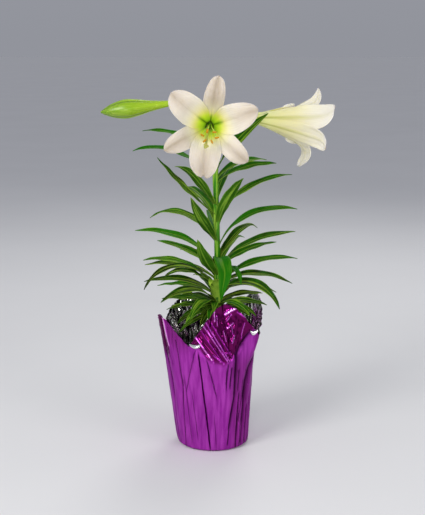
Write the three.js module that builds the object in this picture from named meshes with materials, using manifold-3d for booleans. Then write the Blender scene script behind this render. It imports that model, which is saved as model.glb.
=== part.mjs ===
// A potted Easter lily: one leafy stem with two open trumpets and one closed bud, growing from a
// bulb in potting mix, in a plastic grow pot that stands inside a purple foil pot cover.
// Millimetres, +Z up. The origin is the middle of the cover's flat foot. -Y faces the viewer.
import * as THREE from "three";
import { mergeVertices } from "three/addons/utils/BufferGeometryUtils.js";
import Module from "manifold-3d";

const wasm = await Module();
wasm.setup();

const rad = THREE.MathUtils.degToRad;

// Driving dimensions
const GAP = 0.3;
const COVER = {
  footRadius: 53, // outside, at the foot
  wallRise: 0.096, // radius gained per mm of height
  lean: -0.044, // the sheet's middle drifts this far in X per mm of height
  thickness: 0.9,
  pleats: 30,
  pleatDepth: 1.5,
  levels: [0, 4, 34, 84], // heights of the mesh rows below the crease
  flapRows: 3,
};
// The cover is a square sheet gathered round the pot. Its four corners stand up as flaps, and its edges
// dip between them. Above the crease the sheet is bent by this much at its top, out if positive.
const EDGE_MARKS = [
  { turn: -113, top: 160, crease: 150, bend: 1 },
  { turn: -61, top: 219, crease: 136, bend: -22 }, // the front flap, bent in over the mix
  { turn: -22, top: 168, crease: 140, bend: 9 },
  { turn: 20, top: 219, crease: 150, bend: 3 },
  { turn: 64, top: 162, crease: 146, bend: 3 },
  { turn: 112, top: 204, crease: 146, bend: 5 },
  { turn: 158, top: 164, crease: 146, bend: 2 },
  { turn: 200, top: 197, crease: 150, bend: -1 },
];
const POT = {
  x: -2, // the pot stands a little off the cover's middle, where the cover leans
  foot: 46,
  rim: 57,
  height: 132,
  wall: 1.6,
  lip: 2.2,
  lipHeight: 14,
  footRise: 2, // the floor stands this far above the foot ring
  holes: 6,
  holeRadius: 4.5,
  sides: 28,
};
const MIX = { top: 120, crust: 114, relief: 2.2, stemHole: 5.1 }; // crust: its height at the pot's wall
const BULB = { radius: 25, bottom: 32, top: 78, scales: 9 };
const STEM = { x: 6, lowRadius: 4.6, highRadius: 3.7, straightTo: 290, topX: 3.5, top: 405 };
const PEDICEL = 2.7; // radius of a flower's stalk
const BLADE = 0.7; // thickness of a leaf
const TEPAL = { thickness: 0.9, wide: 22, narrow: 15.5, layer: 0.9, rows: 10 };
const FILAMENT = 0.8; // radius
const ANTHER = { length: 6.6, radius: 1.4 };

// Each leaf: height on the stem, compass direction seen from above (0 is +X, 90 is away from the viewer),
// angle above the horizon at its root and at its tip, how late it bends, length, width, and how far the
// blade twists. Most twist a little, so that their upper face turns to the front.
const leaf = (z, turn, rise, end, late, length, width, twist = -32 * Math.cos(rad(turn))) => ({
  z, turn, rise, end, late, length, width, twist,
});
const LEAVES = [
  // the ruff of bracts under the flowers
  leaf(403, 168, 79, -9, 0.7, 128, 11),
  leaf(399, 192, 33, -23, 2.3, 126, 12),
  leaf(400, -24, 52, 40, 0.6, 116, 14, -105),
  leaf(390, 28, 58, -12, 0.65, 90, 12),
  leaf(383, -8, 62, 0, 0.5, 93, 13, -40),
  leaf(396, 95, 50, 5, 0.9, 96, 12),
  leaf(391, 142, 62, 38, 1.0, 62, 9),
  // upper stem
  leaf(352, 222, 50, 0, 3.6, 100, 16, -26),
  leaf(338, 200, 40, 52, 1.2, 122, 13, 45),
  leaf(344, 14, 40, -1, 1.6, 124, 12),
  leaf(323, -48, 78, 36, 0.7, 93, 17, 34),
  leaf(362, 74, 48, -6, 1.0, 104, 13),
  leaf(330, 118, 46, -12, 1.1, 116, 14),
  leaf(300, 228, 46, 60, 1.2, 88, 17, -38),
  leaf(306, 150, 39, -38, 1.6, 124, 13),
  leaf(289, -10, 78, -8, 0.75, 140, 15),
  leaf(276, 42, 45, -43, 3.0, 94, 13),
  leaf(296, 98, 44, -14, 1.1, 118, 14),
  // middle of the stem
  leaf(267, 186, 55, -4, 0.9, 132, 15),
  leaf(256, 158, 50, 3, 0.7, 103, 13),
  leaf(250, 238, 36, 62, 0.9, 80, 17, -34),
  leaf(257, -20, 76, 6, 0.5, 136, 17),
  leaf(258, 22, 53, 1, 0.6, 101, 12),
  leaf(268, -80, 62, -86, 0.75, 104, 19, 0),
  leaf(262, 68, 44, -20, 1.1, 116, 14),
  leaf(246, 122, 44, -18, 1.0, 112, 13),
  leaf(249, -56, 48, -86, 1.6, 76, 13, 0),
  leaf(237, 6, 48, -11, 0.9, 126, 13),
  leaf(232, 196, 53, -9, 1.1, 123, 14),
  leaf(243, 164, 50, -14, 0.55, 114, 12),
  leaf(232, 207, 52, -64, 1.4, 138, 12),
  // low stem
  leaf(224, 218, 52, -27, 1.6, 106, 15),
  leaf(232, 13, 62, -30, 0.5, 120, 13),
  leaf(216, 184, 72, -14, 0.5, 114, 13),
  leaf(219, 150, 49, -16, 0.4, 104, 10),
  leaf(220, -22, 62, -68, 0.9, 118, 17),
  leaf(222, 34, 54, -30, 0.4, 112, 12),
  leaf(209, -96, 70, -50, 2.2, 74, 16, 0),
  leaf(228, 86, 42, -26, 1.0, 108, 14),
  leaf(217, 112, 40, -20, 0.9, 100, 13),
  leaf(209, 216, 58, -30, 0.8, 107, 16),
  leaf(212, 62, 40, -24, 0.9, 96, 13),
  // the lowest leaves, short and spreading just above the mix
  leaf(205, 172, 48, -12, 0.4, 82, 11),
  leaf(206, 239, 40, -52, 1.1, 82, 15),
  leaf(208, 137, 38, -18, 0.4, 84, 12),
  leaf(198, 258, 26, -52, 1.5, 62, 14),
  leaf(210, 16, 46, -12, 0.5, 70, 11),
  leaf(204, -8, 62, -20, 0.4, 74, 11),
  leaf(203, -40, 56, -50, 0.8, 66, 13),
  leaf(197, -24, 52, -44, 0.8, 66, 11),
  leaf(200, 95, 34, -22, 0.9, 74, 13),
];

// Each tepal: its place round the trumpet (0 is the flower's right, 90 its top), its length, how far its
// tip rolls back, where along it the roll starts, and how much the funnel opens. The first, third and
// fifth are the wide ones.
const petal = (at, length, curl, from, flare = 20) => ({ at, length, curl, from, flare });
// Where each flower's foot is, which way it faces (turn, tilt above the horizon), its tepals, how long
// its stamens and pistil are, how far the stamens bow out, and how far each kind sags.
const BLOOMS = {
  front: {
    foot: [-4.5, -8, 467], turn: -90, tilt: 3.5,
    tepals: [
      petal(16, 141, 88, 0.66),
      petal(81, 141, 96, 0.66),
      petal(140, 138, 88, 0.66),
      petal(206, 139, 104, 0.66),
      petal(261, 139, 98, 0.66),
      petal(316, 140, 102, 0.66),
    ],
    stamen: 109, bow: 9.5, stamenSag: 12, pistil: 127, pistilSag: 23,
  },
  side: {
    foot: [29, 3, 478], turn: 9, tilt: -5,
    tepals: [
      petal(15, 130, 150, 0.6, 17),
      petal(93, 135, 96, 0.8, 17),
      petal(157, 147, 60, 0.8, 17),
      petal(207, 144, 90, 0.78, 18),
      petal(273, 141, 132, 0.7, 18),
      petal(333, 137, 150, 0.66, 17),
    ],
    stamen: 112, bow: 9.5, stamenSag: 8, pistil: 124, pistilSag: 22,
  },
};
// The bud's profile is a list of [share of the length, radius] from its foot to its beak
const BUD = {
  foot: [-34, 2, 500], turn: 183, tilt: -7, length: 124, rib: 0.07,
  profile: [[0, 3.4], [0.22, 4.2], [0.43, 7.4], [0.57, 11], [0.72, 13.4], [0.86, 9.9], [0.95, 5], [1, 1.4]],
};

const COLOURS = {
  foil: 0x94289a, pot: 0x23281f, mix: 0x2b1f17, bulb: 0xe8dcc0, leaf: 0x2f7a1e,
  tepal: 0xf3ece0, filament: 0xb9cf6a, pollen: 0xd4700f, bud: 0x9cc52a,
};

const mix = THREE.MathUtils.lerp;
const smooth = (from, to, x) => THREE.MathUtils.smoothstep(x, from, to);
const v3 = (x, y, z) => new THREE.Vector3(x, y, z);

// Solids: three.js geometry in, three.js geometry out
function solid(geometry) {
  const bare = geometry.index ? geometry.toNonIndexed() : geometry.clone();
  bare.deleteAttribute("normal");
  bare.deleteAttribute("uv");
  const merged = mergeVertices(bare, 1e-4);
  return new wasm.Manifold(
    new wasm.Mesh({
      numProp: 3,
      vertProperties: new Float32Array(merged.attributes.position.array),
      triVerts: new Uint32Array(merged.index.array),
    }),
  );
}

function geometryOf(manifold) {
  const mesh = manifold.getMesh();
  const geometry = new THREE.BufferGeometry();
  geometry.setAttribute("position", new THREE.BufferAttribute(mesh.vertProperties, 3));
  geometry.setIndex(new THREE.BufferAttribute(mesh.triVerts, 1));
  geometry.computeVertexNormals();
  return geometry;
}

// The pieces joined as one solid, without the specks that a join can leave
function united(geometries) {
  const [first, ...rest] = geometries.map(solid);
  const whole = rest.reduce((sum, next) => sum.add(next), first);
  return whole.decompose().reduce((a, b) => (b.volume() > a.volume() ? b : a));
}

function meshed(points, triangles) {
  const geometry = new THREE.BufferGeometry();
  const numbers = points.flatMap((p) => [p.x, p.y, p.z]);
  geometry.setAttribute("position", new THREE.Float32BufferAttribute(numbers, 3));
  geometry.setIndex(triangles);
  return geometry;
}

// A closed shell between two faces of a grid. place(i, j, face) gives each corner, face is 1 or -1.
// round closes the columns on themselves, and hubs are the middles of the two faces of its foot, if it
// has one. Both faces are split along the same diagonals.
function shell(rows, columns, place, round = false, hubs = null) {
  const points = [];
  const width = round ? columns : columns + 1;
  for (const face of [1, -1]) {
    for (let i = 0; i <= rows; i++) {
      for (let j = 0; j < width; j++) points.push(place(i, j, face));
    }
  }
  const at = (i, j, face) => (face > 0 ? 0 : (rows + 1) * width) + i * width + (j % width);
  const triangles = [];
  const quad = (a, b, c, d) => triangles.push(a, b, c, a, c, d);
  for (let i = 0; i < rows; i++) {
    for (let j = 0; j < columns; j++) {
      quad(at(i, j, 1), at(i, j + 1, 1), at(i + 1, j + 1, 1), at(i + 1, j, 1));
      const [a, b, c, d] = [at(i, j, -1), at(i, j + 1, -1), at(i + 1, j + 1, -1), at(i + 1, j, -1)];
      triangles.push(a, c, b, a, d, c);
    }
  }
  for (let j = 0; j < columns; j++) {
    if (hubs) triangles.push(points.length, at(0, j + 1, 1), at(0, j, 1));
    if (hubs) triangles.push(points.length + 1, at(0, j, -1), at(0, j + 1, -1));
    if (!hubs) quad(at(0, j, -1), at(0, j + 1, -1), at(0, j + 1, 1), at(0, j, 1));
    quad(at(rows, j, 1), at(rows, j + 1, 1), at(rows, j + 1, -1), at(rows, j, -1));
  }
  if (hubs) points.push(...hubs);
  for (let i = 0; i < rows && !round; i++) {
    quad(at(i, 0, -1), at(i, 0, 1), at(i + 1, 0, 1), at(i + 1, 0, -1));
    quad(at(i, columns, 1), at(i, columns, -1), at(i + 1, columns, -1), at(i + 1, columns, 1));
  }
  return meshed(points, triangles);
}

// A closed body of rings between two end points. place(i, j) gives corner j of ring i.
function ringed(rows, columns, place, foot, head) {
  const points = [foot, head];
  for (let i = 0; i <= rows; i++) {
    for (let j = 0; j < columns; j++) points.push(place(i, j));
  }
  const at = (i, j) => 2 + i * columns + (j % columns);
  const triangles = [];
  for (let j = 0; j < columns; j++) {
    triangles.push(0, at(0, j + 1), at(0, j), 1, at(rows, j), at(rows, j + 1));
    for (let i = 0; i < rows; i++) {
      const [a, b, c, d] = [at(i, j), at(i, j + 1), at(i + 1, j + 1), at(i + 1, j)];
      triangles.push(a, b, c, a, c, d);
    }
  }
  return meshed(points, triangles);
}

// A blade of even thickness over the surface at(s, t), s along it from 0 to 1 and t across it from -1 to 1
function blade(rows, columns, thickness, at) {
  const step = 1e-3;
  const normal = (s, t) => {
    const along = at(Math.min(1, s + step), t).sub(at(Math.max(0, s - step), t));
    const across = at(s, t + step).sub(at(s, t - step));
    return across.cross(along).normalize();
  };
  return shell(rows, columns, (i, j, face) => {
    const s = i / rows;
    const t = (2 * j) / columns - 1;
    return at(s, t).addScaledVector(normal(s, t), (face * thickness) / 2);
  });
}

function rod(curve, radius, sides, steps) {
  const ring = [];
  for (let k = 0; k < sides; k++) {
    const a = (2 * Math.PI * k) / sides;
    ring.push(new THREE.Vector2(radius * Math.cos(a), radius * Math.sin(a)));
  }
  return new THREE.ExtrudeGeometry(new THREE.Shape(ring), { extrudePath: curve, steps });
}

// A solid of revolution about a vertical axis; profile is a list of [radius, height] from foot to top
function turned(profile, sides) {
  return new THREE.LatheGeometry(
    profile.map(([r, z]) => new THREE.Vector2(r, z)),
    sides,
  ).rotateX(Math.PI / 2);
}

// Height of the cover's edge, height of its crease and the bend, each blended between the marks
function edgeAt(turn) {
  const from = (mark) => (((turn - mark.turn) % 360) + 360) % 360;
  const last = EDGE_MARKS.reduce((a, b) => (from(b) < from(a) ? b : a));
  const next = EDGE_MARKS[(EDGE_MARKS.indexOf(last) + 1) % EDGE_MARKS.length];
  const part = from(last) / (from(last) + 360 - from(next));
  const rise = last.top < next.top ? part : 1 - part;
  const low = Math.min(last.top, next.top);
  return {
    top: low + Math.abs(last.top - next.top) * Math.sin((Math.PI / 2) * rise),
    crease: mix(last.crease, next.crease, part),
    bend: mix(last.bend, next.bend, part),
  };
}

function coverPoint(turn, z, inset, fold) {
  const edge = edgeAt(turn);
  const softFoot = 2.2 * Math.max(0, 1 - z / 5) ** 2;
  const relief = COVER.pleatDepth * fold * smooth(0, 30, z);
  const flap = edge.bend * Math.max(0, (z - edge.crease) / (edge.top - edge.crease));
  const r = COVER.footRadius + COVER.wallRise * z - softFoot + flap - relief - inset;
  return v3(COVER.lean * z + r * Math.cos(rad(turn)), r * Math.sin(rad(turn)), z);
}

function foilCover() {
  const columns = 2 * COVER.pleats;
  const below = COVER.levels.length;
  const rows = below + COVER.flapRows;
  const height = (i, turn) => {
    if (i < below) return COVER.levels[i];
    const edge = edgeAt(turn);
    return mix(edge.crease, edge.top, (i - below) / COVER.flapRows);
  };
  const wall = (i, j, face) => {
    const turn = ((j + 0.5) * 360) / columns;
    const z = i === 0 && face < 0 ? COVER.thickness : height(i, turn);
    return coverPoint(turn, z, face > 0 ? 0 : COVER.thickness, j % 2);
  };
  return shell(rows, columns, wall, true, [v3(0, 0, 0), v3(0, 0, COVER.thickness)]);
}

function growPot() {
  const { foot, rim, height, wall, lip, lipHeight, footRise } = POT;
  const low = COVER.thickness + GAP;
  const floor = low + footRise;
  const footRing = 4; // width of the ring it stands on
  const profile = [
    [0, floor],
    [foot - footRing - footRise, floor],
    [foot - footRing, low],
    [foot, low],
    [rim - lip, height - lipHeight],
    [rim, height - lipHeight],
    [rim + 0.6, height],
    [rim - lip, height],
    [rim - lip - wall, height - lipHeight],
    [foot - wall, floor + wall],
    [0, floor + wall],
  ];
  let pot = solid(turned(profile, POT.sides));
  const out = (foot + wall) / 2 + 8; // how far out the drain holes are
  for (let k = 0; k < POT.holes; k++) {
    const a = (2 * Math.PI * k) / POT.holes;
    const drain = new THREE.CylinderGeometry(POT.holeRadius, POT.holeRadius, 4 * footRise + wall, 8);
    drain.rotateX(Math.PI / 2).translate(out * Math.cos(a), out * Math.sin(a), floor);
    pot = pot.subtract(solid(drain));
  }
  return geometryOf(pot).translate(POT.x, 0, 0);
}

// The bulb's outline: fleshy scales that overlap like tiles, blunt below and pointed above
function bulbRadius(z, turn) {
  const up = (z - BULB.bottom) / (BULB.top - BULB.bottom);
  const round = Math.sin(Math.PI * Math.min(1, up ** 0.8 * 0.93 + 0.04)) ** 0.75;
  const tile = 0.05 * Math.cos(rad(BULB.scales * turn) + 5 * up);
  return Math.max(5.5, BULB.radius * round * (1 + tile * Math.sin(Math.PI * up)));
}

function bulb() {
  const [rows, columns] = [6, 2 * BULB.scales];
  const place = (i, j) => {
    const z = mix(BULB.bottom, BULB.top, i / rows);
    const turn = (360 * j) / columns;
    const r = bulbRadius(z, turn);
    return v3(r * Math.cos(rad(turn)), r * Math.sin(rad(turn)), z);
  };
  const ends = [v3(0, 0, BULB.bottom), v3(0, 0, BULB.top)];
  return ringed(rows, columns, place, ...ends).translate(STEM.x, 0, 0);
}

// Potting mix fills the pot. Its top is lumpy, and a plain hole holds the stem and the bulb.
function pottingMix() {
  const { foot, rim, height, wall, lip, lipHeight, footRise } = POT;
  const floor = COVER.thickness + GAP + footRise + wall + GAP;
  const wallAt = (z) =>
    mix(foot - wall, rim - lip - wall, (z - floor) / (height - lipHeight - floor)) - 2 * GAP;
  const lumps = (r, a) => (MIX.relief / 2) * (Math.sin(0.31 * r + 3 * a) + Math.sin(0.23 * r - 5 * a + 1));
  const rings = 4; // the first is at the floor, the second at the pot's wall, the others run inwards
  const place = (i, j) => {
    const a = (2 * Math.PI * j) / POT.sides;
    const r = i === 0 ? wallAt(floor) : wallAt(MIX.crust) * (1 - (i - 1) / rings);
    const z = i === 0 ? floor : MIX.top + lumps(r, a) - (i === 1 ? MIX.top - MIX.crust : 0);
    return v3(r * Math.cos(a), r * Math.sin(a), z);
  };
  const filled = ringed(rings, POT.sides, place, v3(0, 0, floor), v3(0, 0, MIX.top));
  const clear = 1.2; // round the bulb
  const hole = [[0, BULB.bottom - GAP]];
  for (let i = 0; i <= 6; i++) {
    const z = mix(BULB.bottom, BULB.top, i / 6);
    const widest = Math.max(bulbRadius(z, 0), bulbRadius(z, 180 / BULB.scales));
    hole.push([widest + clear, i ? z + GAP : z - GAP]);
  }
  const above = MIX.top + 20;
  hole.push([MIX.stemHole, BULB.top + 6], [MIX.stemHole, above], [0, above]);
  const bed = turned(hole, 16).translate(STEM.x, 0, 0);
  return geometryOf(solid(filled.translate(POT.x, 0, 0)).subtract(solid(bed)));
}

function stemAt(z) {
  const bent = smooth(STEM.straightTo, STEM.top, z);
  return v3(mix(STEM.x, STEM.topX, bent), 0, z);
}

// The angle of a leaf above the horizon, at share s of its length
const leafRise = (one, s) => mix(one.rise, one.end, s ** one.late);

// The line down the middle of a leaf, as a function of s. It starts inside the stem.
function spine(one) {
  const steps = 40;
  const points = [stemAt(one.z).addScaledVector(direction(one.turn, 0), 2)];
  for (let k = 0; k < steps; k++) {
    const ahead = direction(one.turn, leafRise(one, (k + 0.5) / steps));
    points.push(points[k].clone().addScaledVector(ahead, one.length / steps));
  }
  return (s) => {
    const k = Math.min(steps - 1, Math.floor(s * steps));
    return points[k].clone().lerp(points[k + 1], s * steps - k);
  };
}

// Half the width of a leaf: narrow where it clasps the stem, widest at two fifths, drawn out to a point
function leafHalfWidth(one, s) {
  const widest = 0.4;
  if (s < widest) return (one.width / 2) * mix(0.44, 1, Math.sin((Math.PI / 2) * (s / widest)));
  return Math.max(0.45, (one.width / 2) * (1 - ((s - widest) / (1 - widest)) ** 1.9) ** 0.85);
}

function leafBlade(one) {
  const line = spine(one);
  const channel = 0.34; // the edges stand above the midrib by this share of the half width
  return blade(one.length > 112 ? 7 : 6, 2, BLADE, (s, t) => {
    const side = direction(one.turn - 90, 0);
    const out = direction(one.turn, leafRise(one, s) + 90);
    const roll = rad(one.twist) * smooth(0, 0.6, s);
    const across = side.clone().multiplyScalar(Math.cos(roll)).addScaledVector(out, Math.sin(roll));
    const above = out.clone().multiplyScalar(Math.cos(roll)).addScaledVector(side, -Math.sin(roll));
    const w = leafHalfWidth(one, s) * t;
    return line(s).addScaledVector(across, w).addScaledVector(above, channel * Math.abs(w));
  });
}

function direction(turn, tilt) {
  return v3(
    Math.cos(rad(tilt)) * Math.cos(rad(turn)),
    Math.cos(rad(tilt)) * Math.sin(rad(turn)),
    Math.sin(rad(tilt)),
  );
}

function pedicel(one, reach) {
  const from = stemAt(STEM.top - 6);
  const facing = direction(one.turn, one.tilt);
  const to = v3(...one.foot).addScaledVector(facing, -GAP);
  const curve = new THREE.CubicBezierCurve3(
    from,
    from.clone().add(v3((to.x - from.x) * 0.25, (to.y - from.y) * 0.25, reach)),
    to.clone().addScaledVector(facing, -reach * 0.6),
    to,
  );
  return rod(curve, PEDICEL, 7, 8);
}

function leafyStem() {
  const profile = [
    [0, BULB.top + GAP],
    [STEM.lowRadius, BULB.top + GAP],
    [STEM.lowRadius, 200],
    [(STEM.lowRadius + STEM.highRadius) / 2, STEM.straightTo],
    [STEM.highRadius, STEM.top],
    [0, STEM.top + 2],
  ];
  const stem = turned(profile, 10);
  const place = stem.attributes.position;
  for (let k = 0; k < place.count; k++) place.setX(k, place.getX(k) + stemAt(place.getZ(k)).x);
  const pedicels = [pedicel(BLOOMS.front, 42), pedicel(BLOOMS.side, 34), pedicel(BUD, 34)];
  return geometryOf(united([stem, ...pedicels, ...LEAVES.map(leafBlade)]));
}

// The angle between a tepal and the trumpet's axis: it spreads from the foot, runs up a short tube,
// widens in a long funnel, and its tip rolls back
function tepalLean(s, one) {
  const foot = 52 * (1 - smooth(0, 0.07, s));
  const funnel = one.flare * smooth(0.08, 0.36, s) + 4 * smooth(0.36, 0.65, s);
  return 1 + foot + funnel + one.curl * smooth(one.from, 1.04, s);
}

// Half the width of a tepal: it widens up to the mouth and ends in a blunt tip
function tepalHalfWidth(s, wide) {
  const mouth = mix(2.6, wide ? TEPAL.wide : TEPAL.narrow, smooth(0, 0.74, s) ** 1.1);
  return mouth * Math.sqrt(Math.max(0.01, 1 - Math.max(0, (s - 0.62) / 0.38) ** 2.2));
}

// One tepal in the flower's own frame, where the trumpet runs up +Z. The wide ones lie inside the others.
function tepal(one, wide) {
  const steps = 80;
  const line = [[2, 0.8]];
  for (let k = 0; k < steps; k++) {
    const a = rad(tepalLean((k + 0.5) / steps, one));
    const [r, z] = line[k];
    line.push([r + (one.length / steps) * Math.sin(a), z + (one.length / steps) * Math.cos(a)]);
  }
  const layer = (wide ? -1 : 1) * TEPAL.layer;
  return blade(TEPAL.rows, 4, TEPAL.thickness, (share, t) => {
    const s = 1 - (1 - share) ** 1.3; // the rows lie closer together towards the tip
    const k = Math.min(steps - 1, Math.floor(s * steps));
    const part = s * steps - k;
    const [r, z] = [mix(line[k][0], line[k + 1][0], part), mix(line[k][1], line[k + 1][1], part)];
    const a = rad(tepalLean(s, one));
    const hollow = mix(r, 70, smooth(0.62, 0.9, s)); // how tightly it is curved across
    const turn = (t * tepalHalfWidth(s, wide)) / hollow;
    const inward = hollow * (1 - Math.cos(turn)) - layer * smooth(0, 0.06, s);
    const point = v3(r - inward * Math.cos(a), hollow * Math.sin(turn), z + inward * Math.sin(a));
    return point.applyAxisAngle(v3(0, 0, 1), rad(one.at));
  });
}

// Turns a shape built up +Z so that it stands on the flower's foot and faces the flower's way
function faceOut(one) {
  const facing = direction(one.turn, one.tilt);
  const right = v3(-Math.sin(rad(one.turn)), Math.cos(rad(one.turn)), 0);
  const top = new THREE.Vector3().crossVectors(facing, right);
  return new THREE.Matrix4().makeBasis(right, top, facing).setPosition(...one.foot);
}

function bloomTepals(one) {
  const knob = turned([[0, 0], [3.8, 0], [4.6, 2.4], [4.2, 4.6], [0, 5.6]], 12);
  const six = one.tepals.map((each, k) => tepal(each, k % 2 === 0));
  return geometryOf(united([knob, ...six])).applyMatrix4(faceOut(one));
}

// A thread's path in the flower's own frame. It bows out by `out` in the direction a, and sags towards
// the lower side of the mouth.
function threadPath(a, out, reach, sag) {
  const at = (share, fall, z) =>
    v3(share * out * Math.cos(a), 0.75 * share * out * Math.sin(a) - fall * sag, z);
  return new THREE.CatmullRomCurve3([
    at(0.16, 0, 7.8),
    at(0.23, 0.04, 36),
    at(0.53, 0.4, 0.66 * reach),
    at(1, 1, reach),
  ]);
}

// The stamens stand between the tepals and are a little unequal
function stamenPath(one, k) {
  const a = rad(one.tepals[0].at + 60 * k + 30);
  return threadPath(a, one.bow, one.stamen + 5 * Math.cos(3 * a), one.stamenSag);
}

// The pistil leans to the flower's left, clear of the anthers
function pistilPath(one) {
  return threadPath(rad(200), 5, one.pistil, one.pistilSag);
}

function bloomThreads(one) {
  const seat = turned([[0, 6.6], [2.4, 6.6], [2.9, 8.2], [2.5, 11], [0, 12]], 8);
  const style = pistilPath(one);
  const tip = style.getPoint(1);
  const stigma = turned([[0, -3], [1.6, -2.4], [3.1, 0.4], [2.2, 2], [0, 1.4]], 9);
  const filaments = one.tepals.map((_, k) => rod(stamenPath(one, k), FILAMENT, 4, 5));
  return geometryOf(
    united([seat, rod(style, 1.25, 5, 7), stigma.translate(tip.x, tip.y, tip.z), ...filaments]),
  ).applyMatrix4(faceOut(one));
}

// Anthers hang on the filaments' tips, each swung its own way
function anther(one, k) {
  const path = stamenPath(one, k);
  const ahead = path.getTangent(1);
  const swing = v3(Math.cos(1.3 * k), Math.sin(1.3 * k), 0.5).normalize();
  const capsule = new THREE.CapsuleGeometry(ANTHER.radius, ANTHER.length - 2 * ANTHER.radius, 2, 6);
  capsule.applyQuaternion(new THREE.Quaternion().setFromUnitVectors(v3(0, 1, 0), swing));
  const lean = Math.abs(swing.dot(ahead));
  const reach = (ANTHER.radius + GAP + FILAMENT * lean) / Math.sqrt(1 - lean * lean);
  const seat = path.getPoint(1).addScaledVector(ahead, reach);
  return capsule.translate(seat.x, seat.y, seat.z).applyMatrix4(faceOut(one));
}

// The closed bud: a club with three ribs, necked at its foot and drawn to a blunt beak
function bud() {
  const [rows, columns] = [12, 15];
  const profile = new THREE.SplineCurve(BUD.profile.map(([share, r]) => new THREE.Vector2(share, r)));
  const place = (i, j) => {
    const { x: share, y: radius } = profile.getPoint(i / rows);
    const a = (2 * Math.PI * j) / columns;
    const r = radius * (1 + BUD.rib * smooth(0.1, 0.5, share) * Math.cos(3 * a));
    return v3(r * Math.cos(a), r * Math.sin(a), share * BUD.length);
  };
  return ringed(rows, columns, place, v3(0, 0, 0), v3(0, 0, BUD.length + 0.8)).applyMatrix4(faceOut(BUD));
}

const lily = new THREE.Group();
function add(name, geometry, color, roughness = 0.6, metalness = 0) {
  const mesh = new THREE.Mesh(
    geometry,
    new THREE.MeshStandardMaterial({ color, roughness, metalness }),
  );
  mesh.name = name;
  lily.add(mesh);
}

add("foil_cover", foilCover(), COLOURS.foil, 0.3, 0.9);
add("grow_pot", growPot(), COLOURS.pot, 0.5);
add("potting_mix", pottingMix(), COLOURS.mix, 0.95);
add("bulb", bulb(), COLOURS.bulb, 0.5);
add("leafy_stem", leafyStem(), COLOURS.leaf, 0.45);
add("bud", bud(), COLOURS.bud, 0.4);
for (const [name, one] of Object.entries(BLOOMS)) {
  add(`${name}_bloom_tepals`, bloomTepals(one), COLOURS.tepal, 0.5);
  add(`${name}_bloom_stamens_pistil`, bloomThreads(one), COLOURS.filament, 0.5);
  one.tepals.forEach((_, k) => add(`${name}_bloom_anther_${k + 1}`, anther(one, k), COLOURS.pollen, 0.9));
}

export default lily;
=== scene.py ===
# A potted Easter lily: two open trumpets and a bud on a leafy stem, in a pot wrapped in purple foil.
# Lengths are in millimetres and angles in degrees until MM turns them into metres. Only the studio round
# the plant is laid out in metres.
import math

import bpy
import numpy as np
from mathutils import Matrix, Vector, noise


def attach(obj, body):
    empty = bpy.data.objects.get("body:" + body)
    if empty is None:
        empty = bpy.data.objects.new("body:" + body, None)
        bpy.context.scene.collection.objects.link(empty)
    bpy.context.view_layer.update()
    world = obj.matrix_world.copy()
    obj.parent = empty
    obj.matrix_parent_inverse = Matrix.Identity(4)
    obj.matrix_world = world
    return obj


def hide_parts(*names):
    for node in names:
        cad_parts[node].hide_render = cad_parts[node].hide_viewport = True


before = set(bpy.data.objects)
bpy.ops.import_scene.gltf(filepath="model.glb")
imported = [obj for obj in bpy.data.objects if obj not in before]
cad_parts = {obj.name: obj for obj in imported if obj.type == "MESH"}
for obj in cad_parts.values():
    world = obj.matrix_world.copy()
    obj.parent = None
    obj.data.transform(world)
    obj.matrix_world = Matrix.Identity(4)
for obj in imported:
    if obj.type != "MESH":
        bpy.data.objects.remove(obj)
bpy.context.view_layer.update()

MM = 0.001

# The camera of the photograph
VIEW = {"place": (-0.7, -1550, 590), "pitch": 11.44, "focus": 1096, "frame_height": 515, "sensor": 36}

# Driving dimensions, the same as the frame's, but for the film, which is thinner than the frame's solid.
# The sheet is inset a little, so that its raised folds stay within the solid's outline.
COVER = {"foot": 53, "rise": 0.096, "lean": -0.044, "film": 0.35, "inset": 0.9, "soft_foot": 2.2}
# Round the edge of the sheet: [turn, height of the edge, height of the crease, bend at the top]
EDGE_MARKS = [
    (-113, 160, 150, 1), (-61, 219, 136, -22), (-22, 168, 140, 9), (20, 219, 150, 3),
    (64, 162, 146, 3), (112, 204, 146, 5), (158, 164, 146, 2), (200, 197, 150, -1),
]
POT = {
    "x": -2, "foot": 46, "rim": 57, "height": 132, "wall": 1.6, "lip": 2.2, "lip_height": 14,
    "foot_ring": 1.2, "floor": 3.2, "holes": 6, "hole": 4.5, "hole_ring": 31.8,
}
MIX = {"top": 120, "crust": 114, "floor": 5.1, "clear": 0.6}  # crust: its height at the pot's wall
STEM = {"x": 6, "low": 4.6, "high": 3.7, "foot": 78.5, "straight_to": 290, "top_x": 3.5, "top": 405}
PEDICEL = 2.7  # radius of a flower's stalk
TEPAL = {"thickness": 0.8, "wide": 22, "narrow": 15.5, "layer": 0.9}
FILAMENT = 0.8  # radius
ANTHER = {"length": 6.6, "radius": 1.4}
GAP = 0.3

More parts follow.
